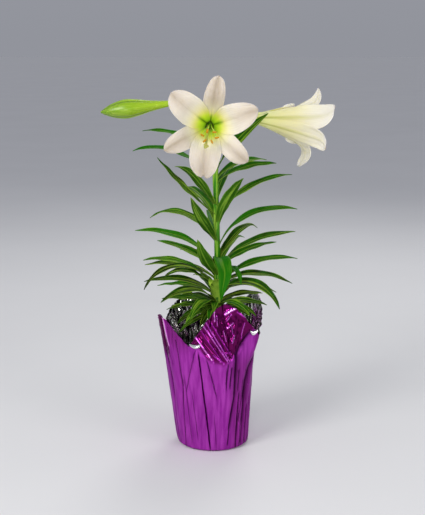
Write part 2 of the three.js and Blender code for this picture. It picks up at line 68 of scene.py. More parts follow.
# Each leaf: height on the stem, turn, angle above the horizon at root and tip, how late it bends, length
# and width, and for some of them also twist, paleness and how far the tip hooks aside
LEAVES = [
    (403, 168, 79, -9, 0.7, 128, 11), (399, 192, 33, -23, 2.3, 126, 12),
    (402, -24, 68, 34, 0.65, 115, 15, -105), (390, 28, 58, -12, 0.65, 90, 12),
    (383, -8, 62, 0, 0.5, 93, 13, -40), (396, 95, 50, 5, 0.9, 96, 12),
    (391, 142, 62, 38, 1.0, 62, 9),
    (352, 222, 50, 0, 3.6, 100, 16, -26), (338, 200, 40, 52, 1.2, 122, 13, 45),
    (344, 14, 40, -1, 1.6, 124, 12), (323, -48, 78, 36, 0.7, 93, 17, 34),
    (362, 74, 48, -6, 1.0, 104, 13), (330, 118, 46, -12, 1.1, 116, 14),
    (300, 228, 46, 60, 1.2, 88, 17, -38), (306, 150, 39, -38, 1.6, 124, 13),
    (289, -10, 78, -8, 0.75, 140, 15), (276, 42, 45, -43, 3.0, 94, 13),
    (296, 98, 44, -14, 1.1, 118, 14),
    (267, 186, 55, -4, 0.9, 132, 15), (256, 158, 50, 3, 0.7, 103, 13),
    (250, 238, 36, 62, 0.9, 80, 17, -34), (257, -20, 76, 6, 0.5, 136, 17),
    (258, 22, 53, 1, 0.6, 101, 12), (268, -80, 62, -86, 0.7, 106, 23, 0, 0.7, 5),
    (262, 68, 44, -20, 1.1, 116, 14), (246, 122, 44, -18, 1.0, 112, 13),
    (249, -56, 48, -86, 1.6, 76, 13, 0, 0.6), (237, 6, 48, -11, 0.9, 126, 13),
    (232, 196, 53, -9, 1.1, 123, 14), (243, 164, 50, -14, 0.55, 114, 12),
    (232, 207, 52, -64, 1.4, 138, 12),
    (224, 218, 52, -27, 1.6, 106, 15), (232, 13, 62, -30, 0.5, 120, 13),
    (216, 184, 72, -14, 0.5, 114, 13), (219, 150, 49, -16, 0.4, 104, 10),
    (220, -22, 62, -68, 0.9, 118, 17), (222, 34, 54, -30, 0.4, 112, 12),
    (211, -101, 72, -44, 2.2, 68, 17, 0, 1.35), (228, 86, 42, -26, 1.0, 108, 14),
    (217, 112, 40, -20, 0.9, 100, 13), (209, 216, 58, -30, 0.8, 107, 16),
    (212, 62, 40, -24, 0.9, 96, 13),
    (205, 172, 48, -12, 0.4, 82, 11), (206, 239, 40, -52, 1.1, 82, 15),
    (208, 137, 38, -18, 0.4, 84, 12), (198, 258, 26, -52, 1.5, 62, 14),
    (210, 16, 46, -12, 0.5, 70, 11), (204, -8, 62, -20, 0.4, 74, 11),
    (203, -40, 56, -50, 0.8, 66, 13), (197, -24, 52, -44, 0.8, 66, 11),
    (200, 95, 34, -22, 0.9, 74, 13),
]
# Small leaves low on the stem, among the roots of the others
LOW_LEAVES = [
    (201, 178, 26, -24, 0.8, 74, 10), (197, 166, 42, 16, 1.0, 56, 9), (197, 216, 34, -52, 0.9, 60, 13),
    (193, 191, 22, -42, 0.9, 62, 11), (195, 240, 36, -62, 0.9, 50, 12), (191, 200, 12, -46, 0.8, 64, 9),
    (199, 58, 38, -18, 0.9, 62, 11), (196, 28, 32, -14, 0.9, 56, 10), (194, -12, 40, -40, 0.9, 50, 10),
    (193, 118, 30, -20, 0.9, 58, 11), (198, 150, 34, -30, 0.8, 66, 10),
    (203, 228, 44, -46, 0.9, 60, 11), (200, 246, 50, -40, 0.9, 50, 11), (196, 208, 36, -30, 0.8, 58, 10),
    (205, 262, 56, -44, 0.8, 44, 11), (206, 200, 50, -10, 0.7, 60, 9),
]
LEAF_VALUES = 7  # every row gives these first ones

# Each flower: foot, turn and tilt; its tepals, each a row of place round the trumpet, length, curl of the
# tip, where the curl starts, flare of the funnel, swing of its end round its own midrib, how far up the
# green of the throat reaches, bluntness of the tip, breadth, and how far the tip lies to one side; then the
# stamens' reach, bow and sag, the pistil's reach and sag, which tepal has a notch in its tip, and the seed
# of its ruffles
BLOOMS = {
    "front": {
        "foot": (-4.5, -8, 467), "turn": -90, "tilt": 3.5,
        "tepals": [
            (18, 137, 90, 0.66, 20, 5, 1.06, 2.3, 0.98, 0.1),
            (81, 138, 96, 0.66, 20, -4, 0.85, 3.8, 0.91, 0),
            (141, 136, 88, 0.66, 20, 7, 1.1, 3.8, 0.92, -0.14),
            (206, 139, 104, 0.66, 20, -8, 0.95, 3.4, 0.93, 0.05),
            (261, 139, 98, 0.66, 20, 4, 0.98, 3.6, 0.98, 0.16),
            (316, 140, 102, 0.66, 20, -6, 1.0, 4.4, 0.9, 0.22),
        ],
        "stamen": 109, "bow": 9.5, "stamen_sag": 12, "pistil": 127, "pistil_sag": 23,
        "notched": 4, "seed": 3,
    },
    "side": {
        "foot": (29, 3, 478), "turn": 9, "tilt": -5,
        "tepals": [
            (15, 126, 150, 0.645, 17, 6, 1, 2.3, 0.78, 0),
            (93, 141, 107, 0.745, 10, 24, 1, 5.5, 0.64, 0),
            (163, 145, 60, 0.8, 17, 0, 1, 3.6, 0.86, -0.7),
            (207, 147, 90, 0.78, 18.5, 0, 1, 3.0, 1.06, 0.28),
            (273, 141, 132, 0.7, 18, -14, 1, 2.1, 1, 0),
            (333, 143, 150, 0.65, 17.5, -8, 1, 2.3, 1, 0),
        ],
        "stamen": 112, "bow": 9.5, "stamen_sag": 8, "pistil": 124, "pistil_sag": 22,
        "notched": None, "seed": 4,
    },
}
# The small turned forms inside each flower, as rows of radius and height: the tepals' joined foot, the seat
# of the stamens and the pistil, and the pistil's tip
KNOB = [(0, 0), (3.4, 0), (3.9, 0.6), (4.6, 2.4), (4.3, 4.2), (2.5, 5.4), (0, 5.6)]
SEAT = [(0, 6.6), (2.4, 6.6), (2.9, 8.2), (2.5, 11), (0, 12)]
STIGMA = [(0, -3), (1.6, -2.4), (2.7, -0.6), (3.2, 0.7), (2.6, 1.9), (1.0, 1.7), (0, 1.1)]
# Colours along a tepal from its foot to its tip
OUTER_TONES = [
    (0.0, "9AB03C"), (0.14, "D0D886"), (0.4, "D8D396"), (0.6, "DED6A8"), (0.76, "E2DBC4"), (1.0, "E6E0D6"),
]
# On the inner face the foot is near black, painted shade deep in the throat, and towards the tip the white
# greys a little, painted shade as well
INNER_TONES = [
    (0.0, "1A3A02"), (0.1, "427604"), (0.17, "8ABA0A"), (0.28, "B8DC18"), (0.38, "CFE440"),
    (0.47, "DEDA86"), (0.56, "E8DEBA"), (0.67, "E9DFCF"), (0.78, "DDD1C4"), (0.88, "D0C4B8"),
    (1.0, "CABEB2"),
]
# The bud's profile: share of its length and radius
BUD = {
    "foot": (-34, 2, 500), "turn": 183, "tilt": -7, "length": 124, "rib": 0.07,
    "profile": [
        (0, 3.4), (0.22, 4.2), (0.43, 7.4), (0.57, 11), (0.72, 13.4), (0.86, 9.9), (0.95, 5), (1, 1.4),
    ],
}

# The cover's chance pleats and dents and the crumbs on the mix are drawn from this one, in that order
draw = np.random.default_rng(8)


# Numbers: a and b may be single values or arrays with one entry for each point of a mesh
def mix(a, b, part):
    return a + (b - a) * part


def smooth(low, high, x):
    part = np.clip((x - low) / (high - low), 0, 1)
    return part * part * (3 - 2 * part)


def cosd(a):
    return np.cos(np.radians(a))


def sind(a):
    return np.sin(np.radians(a))


def stack(x, y, z):
    return np.stack(np.broadcast_arrays(x, y, z), axis=-1).astype(float)


def ring(r, turn, z):
    """Points at this distance from an upright axis, this way round it."""
    return stack(r * cosd(turn), r * sind(turn), z)


def direction(turn, tilt):
    return ring(cosd(tilt), turn, sind(tilt))


def sampled(rows, at):
    """Values between the rows of a table, at places counted in rows."""
    return np.stack([np.interp(at, np.arange(len(rows)), column) for column in rows.T], 1)


def bell(x, width):
    return np.exp(-((x / width) ** 2))


def zigzag(x):
    """A wave of straight flanks, 0 at whole numbers and 1 halfway between them."""
    return 2 * np.abs(x - np.round(x))


def wander(points, size, seed=0.0):
    """Smooth noise from -1 to 1 that changes over about `size` millimetres."""
    shift = Vector((seed * 17.3, seed * 5.1, seed * 9.7))
    return np.array([noise.noise(Vector(p) / size + shift) for p in points.tolist()])


# Meshes: every thin form starts as a grid primitive, whose points a rule then moves into place
def deselect():
    bpy.ops.object.select_all(action="DESELECT")


def only(piece):
    deselect()
    piece.select_set(True)
    bpy.context.view_layer.objects.active = piece


def in_edit_mode(piece, work):
    only(piece)
    bpy.ops.object.mode_set(mode="EDIT")
    bpy.ops.mesh.select_all(action="SELECT")
    work()
    bpy.ops.object.mode_set(mode="OBJECT")


def formed(name, rows, columns, rule, around=False):
    """A grid formed by rule(s, t), which gives its points and a table of values to paint on them.
    s runs from 0 to 1 along it. t runs from -1 to 1 across it, or from 0 to 1 around it, where its two
    sides then meet and are merged."""
    deselect()
    bpy.ops.mesh.primitive_grid_add(x_subdivisions=columns, y_subdivisions=rows, size=2, calc_uvs=True)
    piece = bpy.context.object
    piece.name = piece.data.name = name
    mesh = piece.data
    flat = np.empty(len(mesh.vertices) * 3)
    mesh.vertices.foreach_get("co", flat)
    across, along = flat[0::3], (flat[1::3] + 1) / 2
    points, painted = rule(along, (across + 1) / 2 if around else across)
    mesh.vertices.foreach_set("co", (points * MM).ravel())
    for key, values in painted.items():
        layer = mesh.attributes.new(key, "FLOAT", "POINT")
        layer.data.foreach_set("value", np.broadcast_to(values, len(mesh.vertices)).astype(np.float32))
    if around:
        in_edit_mode(piece, lambda: bpy.ops.mesh.remove_doubles(threshold=0.001 * MM))
    return piece


def apply(piece, kind, **settings):
    only(piece)
    modifier = piece.modifiers.new(kind.title(), kind)
    for key, value in settings.items():
        setattr(modifier, key, value)
    bpy.ops.object.modifier_apply(modifier=modifier.name)


def thickened(piece, thickness, faces, offset=0.0):
    """Gives a formed sheet its thickness, and its near and far side their materials."""
    for face in faces:
        piece.data.materials.append(face)
    apply(
        piece, "SOLIDIFY", thickness=thickness * MM, offset=offset,
        material_offset=len(faces) - 1, material_offset_rim=0,
    )
    return piece


def joined(name, pieces):
    deselect()
    for piece in pieces:
        piece.select_set(True)
    bpy.context.view_layer.objects.active = pieces[0]
    bpy.ops.object.join()
    whole = bpy.context.object
    whole.name = whole.data.name = name
    return whole


def finished(piece, materials, nodes, angle=None):
    """The last step for each piece: its materials, smooth shading, and what it rides on and stands for."""
    for material in materials:
        piece.data.materials.append(material)
    only(piece)
    if angle is None:
        bpy.ops.object.shade_smooth()
    else:
        bpy.ops.object.shade_smooth_by_angle(angle=math.radians(angle))
    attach(piece, "root")
    if nodes:
        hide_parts(*nodes)


def swept(name, rows, columns, path, radius, swell=lambda s, a: 0):
    """A closed tube along path(s), with rounded-off ends. radius(s) and swell(s, a) give its section."""
    steps = np.linspace(0, 1, 4 * rows + 1)
    line = path(steps)
    ahead = np.gradient(line, axis=0)
    ahead /= np.linalg.norm(ahead, axis=1)[:, None]
    first = np.cross(ahead[0], (0.31, 0.42, 0.85))
    sides = [first / np.linalg.norm(first)]
    for tangent in ahead[1:]:
        side = sides[-1] - tangent * (sides[-1] @ tangent)
        sides.append(side / np.linalg.norm(side))
    sides = np.array(sides)
    ups = np.cross(ahead, sides)

    def rule(s, t):
        # the first and last rows draw together and close the ends
        inner = np.clip((s * rows - 1) / (rows - 2), 0, 1)
        closed = (s * rows < 0.5) | (s * rows > rows - 0.5)
        at = inner * (len(steps) - 1)
        centre, across, up = (sampled(rows, at) for rows in (line, sides, ups))
        r = np.where(closed, 0, radius(inner) + swell(inner, 360 * t))
        points = centre + across * (r * cosd(360 * t))[:, None] + up * (r * sind(360 * t))[:, None]
        return points, {"along": inner}

    return formed(name, rows, columns, rule, around=True)


def bezier(a, b, c, d):
    """A curve that leaves a towards b and comes from c into d."""
    def path(s):
        s = np.asarray(s)[:, None]
        return a * (1 - s) ** 3 + 3 * b * s * (1 - s) ** 2 + 3 * c * s * s * (1 - s) + d * s**3
    return path


def through(points):
    """A smooth path through the points, spread evenly over them."""
    points = np.array(points, float)
    padded = np.vstack([2 * points[0] - points[1], points, 2 * points[-1] - points[-2]])

    def path(s):
        at = np.clip(np.asarray(s) * (len(points) - 1), 0, len(points) - 1 - 1e-9)
        k = at.astype(int)
        u = (at - k)[:, None]
        p0, p1, p2, p3 = (padded[k + n] for n in range(4))
        return 0.5 * (2 * p1 + (p2 - p0) * u + (2 * p0 - 5 * p1 + 4 * p2 - p3) * u**2
                      + (3 * p1 - p0 - 3 * p2 + p3) * u**3)
    return path


# Materials
def linear(hex_colour):
    """An sRGB colour as the linear values that a shader takes."""
    parts = [int(hex_colour[k:k + 2], 16) / 255 for k in (0, 2, 4)]
    return tuple(p / 12.92 if p <= 0.04045 else ((p + 0.055) / 1.055) ** 2.4 for p in parts) + (1.0,)


class Finish:
    """A node material, or the studio's sky, in the making. add() is the one way that nodes come into it."""

    def __init__(self, name, sky=None):
        self.whole = sky or bpy.data.materials.new(name)
        self.whole.use_nodes = True
        self.tree = self.whole.node_tree

    def add(self, kind, inputs=(), stops=(), **settings):
        made = self.tree.nodes.new("ShaderNode" + kind)
        for key, value in settings.items():
            setattr(made, key, value)
        for k, (place, colour) in enumerate(stops):
            ramp = made.color_ramp.elements
            stop = ramp[k] if k < 2 else ramp.new(place)
            stop.position = place
            stop.color = linear(colour) if isinstance(colour, str) else (colour, colour, colour, 1)
        self.set(made, inputs)
        return made

    def set(self, made, inputs):
        """The inputs come as a table, or as a row for the first ones. Each takes a number, a colour,
        another node's socket, or a node, meaning its first output."""
        if not isinstance(inputs, dict):
            inputs = dict(enumerate(inputs))
        for key, value in inputs.items():
            if isinstance(value, bpy.types.Node):
                value = value.outputs[0]
            if isinstance(value, bpy.types.NodeSocket):
                self.tree.links.new(value, made.inputs[key])
            else:
                made.inputs[key].default_value = value

    def surface(self, **inputs):
        shader = self.tree.nodes["Principled BSDF"]
        for key, value in inputs.items():
            self.set(shader, {key.replace("_", " ").title().replace("Ior", "IOR"): value})
        return self.whole


def edge_band(coat, coordinate, width):
    """How near the middle line of a blade a point is: 1 on it, 0 at `width` of the blade's breadth away."""
    away = coat.add("Math", (coordinate, 0.5), operation="SUBTRACT")
    away = coat.add("Math", (away,), operation="ABSOLUTE")
    return coat.add("MapRange", (away, 0.0, width, 1.0, 0.0), interpolation_type="SMOOTHSTEP")


def streaks(coat, place, sizes, detail, distortion=0.0):
    """Noise drawn out into streaks, which change over these lengths along X, Y and Z in millimetres."""
    drawn = coat.add("Mapping", {"Vector": place, "Scale": [1 / (size * MM) for size in sizes]})
    settings = {"Vector": drawn, "Scale": 1.0, "Detail": detail, "Distortion": distortion}
    return coat.add("TexNoise", settings)


def grained(name, size, detail, tones, strength, depth, **settings):
    """Tones and relief that follow one noise, whose size and depth are in millimetres."""
    coat = Finish(name)
    place = coat.add("TexCoord").outputs["Object"]
    grain = coat.add("TexNoise", {"Vector": place, "Scale": 1 / (size * MM), "Detail": detail})
    tone = coat.add("ValToRGB", (grain,), stops=tones)
    relief = coat.add("Bump", {"Strength": strength, "Distance": depth * MM, "Height": grain})
    return coat.surface(base_color=tone, normal=relief, **settings)


def purple_film():
    # Polypropylene film, vacuum-metallised and lacquered purple: satin where it is drawn tight over the
    # pot and mirror-bright where it is crushed. There its colour is painted darker: a painted reflection
    # of the dark that the crushed flaps mirror. In the bottom of a pleat it is painted nearly black as
    # shade. Along the ridge of a sharp fold runs a painted highlight: magenta beside it, and pale on its
    # very edge. What the film mirrors at a slant is faintly purple as well.
    coat = Finish("metallised_film_purple")
    place = coat.add("TexCoord").outputs["Object"]
    fold = coat.add("Attribute", attribute_name="fold").outputs["Fac"]
    crest_highlight = coat.add("Attribute", attribute_name="crest_highlight").outputs["Fac"]
    crushed = coat.add("Attribute", attribute_name="crushed").outputs["Fac"]
    # Drawn tight, the film has light and dark streaks 5 mm apart and some 70 mm long
    streak = streaks(coat, place, (5, 5, 70), 3.0)
    tone = coat.add("ValToRGB", (streak,), stops=[(0.36, "9E2CA2"), (0.66, "BC44BE")])
    beside = coat.add("MapRange", (crest_highlight, 0.0, 0.35, 0.0, 0.85))
    edge = coat.add("MapRange", (crest_highlight, 0.4, 1.0, 0.0, 1.0))
    # painted: darker where crushed, a highlight beside and on fold ridges, and shade in folds
    for amount, colour in ((crushed, "680E52"), (beside, "C22EC6"), (edge, "F4B4EE"), (fold, "2A0326")):
        over = {0: amount, 6: tone, 7: linear(colour)}
        tone = coat.add("Mix", over, data_type="RGBA").outputs[2]
    gloss = coat.add("MapRange", (crushed, 0.0, 1.0, 0.36, 0.12))
    # Fine drawn creases, 4 mm apart and some 40 mm long, run up the film
    crease = streaks(coat, place, (4, 4, 40), 4.0)
    relief = coat.add("Bump", {"Strength": 0.35, "Distance": 0.2 * MM, "Height": crease})
    return coat.surface(base_color=tone, metallic=0.94, roughness=gloss, normal=relief,
                        specular_tint=linear("E0C8E2"))


def silver_film(name, dark, light, relief):
    # The film's bare inner face: mirror-bright aluminium. Crumpled, it breaks into upright shards about
    # 5 mm wide. Their colour runs in noise from the bright metal to nearly black: the dark is painted
    # shade for creases too fine to model. Where it stands close to a purple face, a painted reflection
    # of that purple stands for what it mirrors.
    coat = Finish(name)
    place = coat.add("TexCoord").outputs["Object"]
    shard = streaks(coat, place, (5, 5, 18), 2.0, distortion=0.6)
    tone = coat.add("ValToRGB", (shard,), stops=[(0.43, dark), (0.58, light)])
    painted_purple_reflection = coat.add("Attribute", attribute_name="painted_purple_reflection").outputs["Fac"]
    tone = coat.add("Mix", {0: painted_purple_reflection, 6: tone, 7: linear("9A3C94")}, data_type="RGBA").outputs[2]
    bent = coat.add("Bump", {"Strength": relief, "Distance": 0.8 * MM, "Height": shard})
    return coat.surface(base_color=tone, metallic=1.0, roughness=0.14, normal=bent)


def pot_plastic():
    # Polypropylene, injection-moulded in a dark green: satin, with a faint flow mottle
    greens = [(0.3, "1B221A"), (0.7, "2B3527")]
    return grained("moulded_polypropylene", 9, 5.0, greens, 0.2, 0.1, roughness=0.46, ior=1.49)


def peat():
    # Moist peat: nearly black fibre with brown crumbs 2 to 4 mm across
    coat = Finish("moist_peat")
    place = coat.add("TexCoord").outputs["Object"]
    crumb = coat.add("TexVoronoi", {"Vector": place, "Scale": 1 / (3 * MM)}).outputs["Color"]
    brown = coat.add("ValToRGB", (crumb,), stops=[(0.2, "1A120D"), (0.8, "4A3524")])
    fibre = coat.add("TexNoise", {"Vector": place, "Scale": 1 / (1.5 * MM), "Detail": 6.0})
    relief = coat.add("Bump", {"Strength": 0.9, "Distance": 0.8 * MM, "Height": fibre})
    return coat.surface(base_color=brown, roughness=0.95, normal=relief)


def bark():
    # Composted pine bark, torn and weathered: fibrous, dark to light brown
    browns = [(0.3, "2A1B12"), (0.7, "6E5138")]
    return grained("composted_bark", 4, 6.0, browns, 0.8, 0.5, roughness=0.9)


def perlite():
    # Expanded perlite: white glass foam, dusty and pitted
    whites = [(0.3, "B9B2A4"), (0.6, "EFECE4")]
    return grained("expanded_perlite", 0.8, 4.0, whites, 0.7, 0.3, roughness=0.85)


def bulb_scales():
    # Lily bulb: fleshy cream scales with a waxy skin, tinged brown where they have dried
    coat = Finish("bulb_scale")
    place = coat.add("TexCoord").outputs["Object"]
    dried = coat.add("TexNoise", {"Vector": place, "Scale": 1 / (14 * MM), "Detail": 4.0})
    cream = coat.add("ValToRGB", (dried,), stops=[(0.4, "EFE4C9"), (0.75, "B48E5C")])
    return coat.surface(base_color=cream, roughness=0.45, subsurface_weight=0.2, subsurface_scale=2 * MM)


def leaf_face(name, dark, light, rib, roughness):
    # Lily leaf: a waxy cuticle over ten parallel veins, 1 to 2 mm apart. The blade is darkest between the
    # veins, and paler on its midrib, margins and foot and in a few broad bands that run its length. Each
    # leaf has its own shade and its own bands, and on a light leaf these markings are faint. Low leaves
    # are given a darker shade, which is painted shade under the leaves above them.
    coat = Finish(name)
    place = coat.add("TexCoord")
    uv = coat.add("SeparateXYZ", (place.outputs["UV"],))
    across, along = uv.outputs["X"], uv.outputs["Y"]
    shade = coat.add("Attribute", attribute_name="shade").outputs["Fac"]
    blotch = {"Vector": place.outputs["Object"], "Scale": 1 / (11 * MM), "Detail": 3.0}
    mottle = coat.add("TexNoise", blotch)
    own = coat.add("Math", (shade, mottle), operation="ADD")
    own = coat.add("Math", (own, 0.5), operation="MULTIPLY")
    tones = [(0.15, dark), (0.5, light), (0.74, light), (0.95, rib)]
    green = coat.add("ValToRGB", (own,), stops=tones)
    veins = 10
    vein = coat.add("Math", (across, 2 * math.pi * veins), operation="MULTIPLY")
    vein = coat.add("Math", (vein,), operation="COSINE")
    veined = coat.add("MapRange", (vein, 0.2, 1.0, 0.0, 0.12))
    # the bands change over a fifth of the breadth and most of the length, and from leaf to leaf
    spot = coat.add("CombineXYZ", (across, along, shade))
    drawn = coat.add("Mapping", {"Vector": spot, "Scale": (4.5, 1.4, 60.0)})
    band = coat.add("TexNoise", {"Vector": drawn, "Scale": 1.0, "Detail": 2.0})
    banded = coat.add("MapRange", (band, 0.52, 0.66, 0.0, 0.56))
    pale = coat.add("Math", (veined, banded), operation="MAXIMUM")
    marked = coat.add("MapRange", (shade, 0.48, 0.6, 1.0, 0.3))
    pale = coat.add("Math", (pale, marked), operation="MULTIPLY")
    striped = coat.add("Mix", {0: pale, 6: green, 7: linear(rib)}, data_type="RGBA").outputs[2]
    middle = edge_band(coat, across, 0.08)
    ribbed = coat.add("Math", (middle, 0.5), operation="MULTIPLY")
    foot = coat.add("MapRange", (along, 0.0, 0.2, 0.4, 0.0))
    paler = coat.add("Math", (ribbed, foot), operation="MAXIMUM")
    inner = edge_band(coat, across, 0.5)
    margin = coat.add("MapRange", (inner, 0.0, 0.06, 0.4, 0.0))
    paler = coat.add("Math", (paler, margin), operation="MAXIMUM")
    paler = coat.add("Math", (paler, marked), operation="MULTIPLY")
    blade = coat.add("Mix", {0: paler, 6: striped, 7: linear(rib)}, data_type="RGBA").outputs[2]
    relief = coat.add("Bump", {"Strength": 0.35, "Distance": 0.2 * MM, "Height": vein})
    return coat.surface(base_color=blade, roughness=roughness, specular_ior_level=0.05, normal=relief,
                        subsurface_weight=0.1, subsurface_radius=(0.7, 1.0, 0.3), subsurface_scale=1 * MM)


def stem_skin():
    # Lily stem: smooth, ribbed skin, brighter green higher up and dull olive near the mix, finely streaked
    coat = Finish("stem_skin")
    place = coat.add("TexCoord").outputs["Object"]
    height = coat.add("SeparateXYZ", (place,)).outputs["Z"]
    height_share = coat.add("MapRange", (height, 150 * MM, 420 * MM))
    tones = [(0.0, "2E4210"), (0.45, "2C7402"), (1.0, "3E8A12")]
    green = coat.add("ValToRGB", (height_share,), stops=tones)
    streak = streaks(coat, place, (3, 3, 60), 3.0)
    faint = coat.add("MapRange", (streak, 0.46, 0.62, 0.0, 0.8))
    skin = coat.add("Mix", {0: faint, 6: green, 7: linear("A4CC42")}, data_type="RGBA").outputs[2]
    relief = coat.add("Bump", {"Strength": 0.3, "Distance": 0.2 * MM, "Height": streak})
    return coat.surface(base_color=skin, roughness=0.5, specular_ior_level=0.2, normal=relief)


def tepal_face(name, tones, rib, rib_strength, rib_width, furrow, tip_shade, glow):
    # Lily tepal: thick white flesh with a velvety skin that lets light through. It runs from green at the
    # foot to warm white, with a tinted midrib and fine lengthwise veins 2 to 3 mm apart. A greyish band
    # along the middle of the tip is painted shade. In the throat the upper tepals have a green furrow
    # with a darker line in it: partly the furrow's own green, partly painted shade of its groove, which
    # the sheet leaves flat there. Light that comes through the flesh makes the throat glow, and a faint
    # emission, painted light, stands for that.
    coat = Finish(name)
    across = coat.add("SeparateXYZ", (coat.add("TexCoord").outputs["UV"],)).outputs["X"]
    along = coat.add("Attribute", attribute_name="along").outputs["Fac"]
    flesh = coat.add("ValToRGB", (along,), stops=tones)
    veins = 14
    vein = coat.add("Math", (across, 2 * math.pi * veins), operation="MULTIPLY")
    vein = coat.add("Math", (vein,), operation="COSINE")
    veined = coat.add("MapRange", (vein, 0.0, 1.0, 0.0, 0.14))
    tone = coat.add("Mix", {0: veined, 6: flesh, 7: linear("C4BBA8")}, data_type="RGBA").outputs[2]
    deep = coat.add("Attribute", attribute_name="furrow").outputs["Fac"]
    deep = coat.add("Math", (deep, furrow), operation="MULTIPLY")
    # Laid over one another along the middle of the tepal: the midrib, the tip's painted shade, the furrow
    # and the line in it, partly painted shade. Each has a width, two places along the tepal, its strength
    # at both, and a colour.
    for width, start, end, first, last, colour in (
        (rib_width, 0.2, 0.95, rib_strength, 0.1, rib), (0.36, 0.6, 0.95, 0.0, tip_shade, "A89A8A"),
        (0.19, 0.34, 0.5, deep, 0.0, "7C9E06"), (0.07, 0.3, 0.48, deep, 0.0, "3E7A04"),
    ):
        strength = coat.add("MapRange", (along, start, end, first, last))
        band = (edge_band(coat, across, width), strength)
        amount = coat.add("Math", band, operation="MULTIPLY")
        over = {0: amount, 6: tone, 7: linear(colour)}
        tone = coat.add("Mix", over, data_type="RGBA").outputs[2]
    fades = [(0.06, 0.0), (0.22, glow), (0.44, glow), (0.7, 0.0)]
    lit = coat.add("ValToRGB", (along,), stops=fades)
    relief = coat.add("Bump", {"Strength": 0.25, "Distance": 0.25 * MM, "Height": vein})
    return coat.surface(base_color=tone, roughness=0.6, specular_ior_level=0.15, normal=relief,
                        subsurface_weight=0.7, subsurface_radius=(1.0, 0.95, 0.7), subsurface_scale=3 * MM,
                        emission_color=tone, emission_strength=lit)


def thread_skin(name, low, high, roughness):
    # Filament or style: a smooth, juicy thread, greener at its foot than at its tip
    coat = Finish(name)
    along = coat.add("Attribute", attribute_name="along").outputs["Fac"]
    green = coat.add("ValToRGB", (along,), stops=[(0.0, low), (1.0, high)])
    return coat.surface(base_color=green, roughness=roughness,
                        subsurface_weight=0.3, subsurface_scale=1 * MM)


def pollen():
    # Ripe pollen: a clinging orange powder, drawn as clumps about 0.6 mm across so that it shows
    oranges = [(0.3, "8A5602"), (0.64, "E0A60E")]
    return grained("ripe_pollen", 0.6, 4.0, oranges, 0.8, 0.3, roughness=0.95)


def bud_skin():
    # Closed bud: satin yellow-green tepals with paler streaks along their length. The seams between them
    # are painted deep green: painted shade in the creases.
    coat = Finish("bud_skin")
    place = coat.add("TexCoord").outputs["Object"]
    along = coat.add("Attribute", attribute_name="along").outputs["Fac"]
    seam = coat.add("Attribute", attribute_name="seam").outputs["Fac"]
    tones = [(0.0, "86AE14"), (0.3, "9CBC12"), (0.7, "88AE04"), (1.0, "668F08")]
    skin = coat.add("ValToRGB", (along,), stops=tones)
    streak = streaks(coat, place, (40, 2, 2), 3.0)
    faint = coat.add("MapRange", (streak, 0.5, 0.75, 0.0, 0.5))
    lined = coat.add("Mix", {0: faint, 6: skin, 7: linear("C6DA58")}, data_type="RGBA").outputs[2]
    seamed = coat.add("Mix", {0: seam, 6: lined, 7: linear("5E7F0A")}, data_type="RGBA").outputs[2]
    relief = coat.add("Bump", {"Strength": 0.25, "Distance": 0.2 * MM, "Height": streak})
    return coat.surface(base_color=seamed, roughness=0.36, normal=relief,
                        subsurface_weight=0.2, subsurface_radius=(0.8, 1.0, 0.3), subsurface_scale=2 * MM)


def studio_floor():
    # Painted studio floor: matt and pale, very slightly clouded
    coat = Finish("studio_floor")
    place = coat.add("TexCoord").outputs["Object"]
    cloud = coat.add("TexNoise", {"Vector": place, "Scale": 1 / (400 * MM), "Detail": 2.0})
    pale = coat.add("ValToRGB", (cloud,), stops=[(0.3, "DCDBD9"), (0.7, "DFDEDC")])
    return coat.surface(base_color=pale, roughness=0.8)


# The foil cover
WALL_RADIUS = 62  # of its wall, about: the chance relief is laid round this
FOLD_RADIUS = 68  # of its flaps, about: distances along the folds are measured on this
PLEAT_TOP = 150
# Pleats: turn at the foot and at PLEAT_TOP, depth, width, and the heights between which it runs. These are
# the ones at the front, listed one by one. Those round the back are spread by chance.
PLEATS = [
    (-170, -171, 1.8, 3.6, 0, 176), (-139, -124, 2.1, 1.2, 0, 104), (-150, -107.5, 1.3, 0.8, 88, 160),
    (-94, -102.5, 2.3, 0.9, 0, 156), (-65.5, -94, 1.3, 0.7, 84, 150), (-70.5, -66, 1.5, 0.8, 94, 132),
    (-51.5, -41, 2.2, 1.6, 0, 92), (-17, -19, 2.2, 3.0, 0, 84), (-112, -118, 0.9, 0.7, 20, 96),
    (-84, -88, 0.8, 0.6, 0, 60), (-44, -38, 1.2, 0.9, 0, 60), (-30, -27, 1.4, 1.1, 0, 70),
    (-124, -125, 0.9, 0.8, 10, 120),
]
# The crease below which the front flap stands straight and above which it is crushed: [turn, height]
VEE = [
    (-114, 164), (-101, 158), (-91, 142), (-82, 136), (-71, 132), (-63, 135), (-55, 143), (-41, 159),
    (-32, 173), (-24, 181),
]
# The folds of the front flap fan out from this turn and height
FAN = (-64, 120)
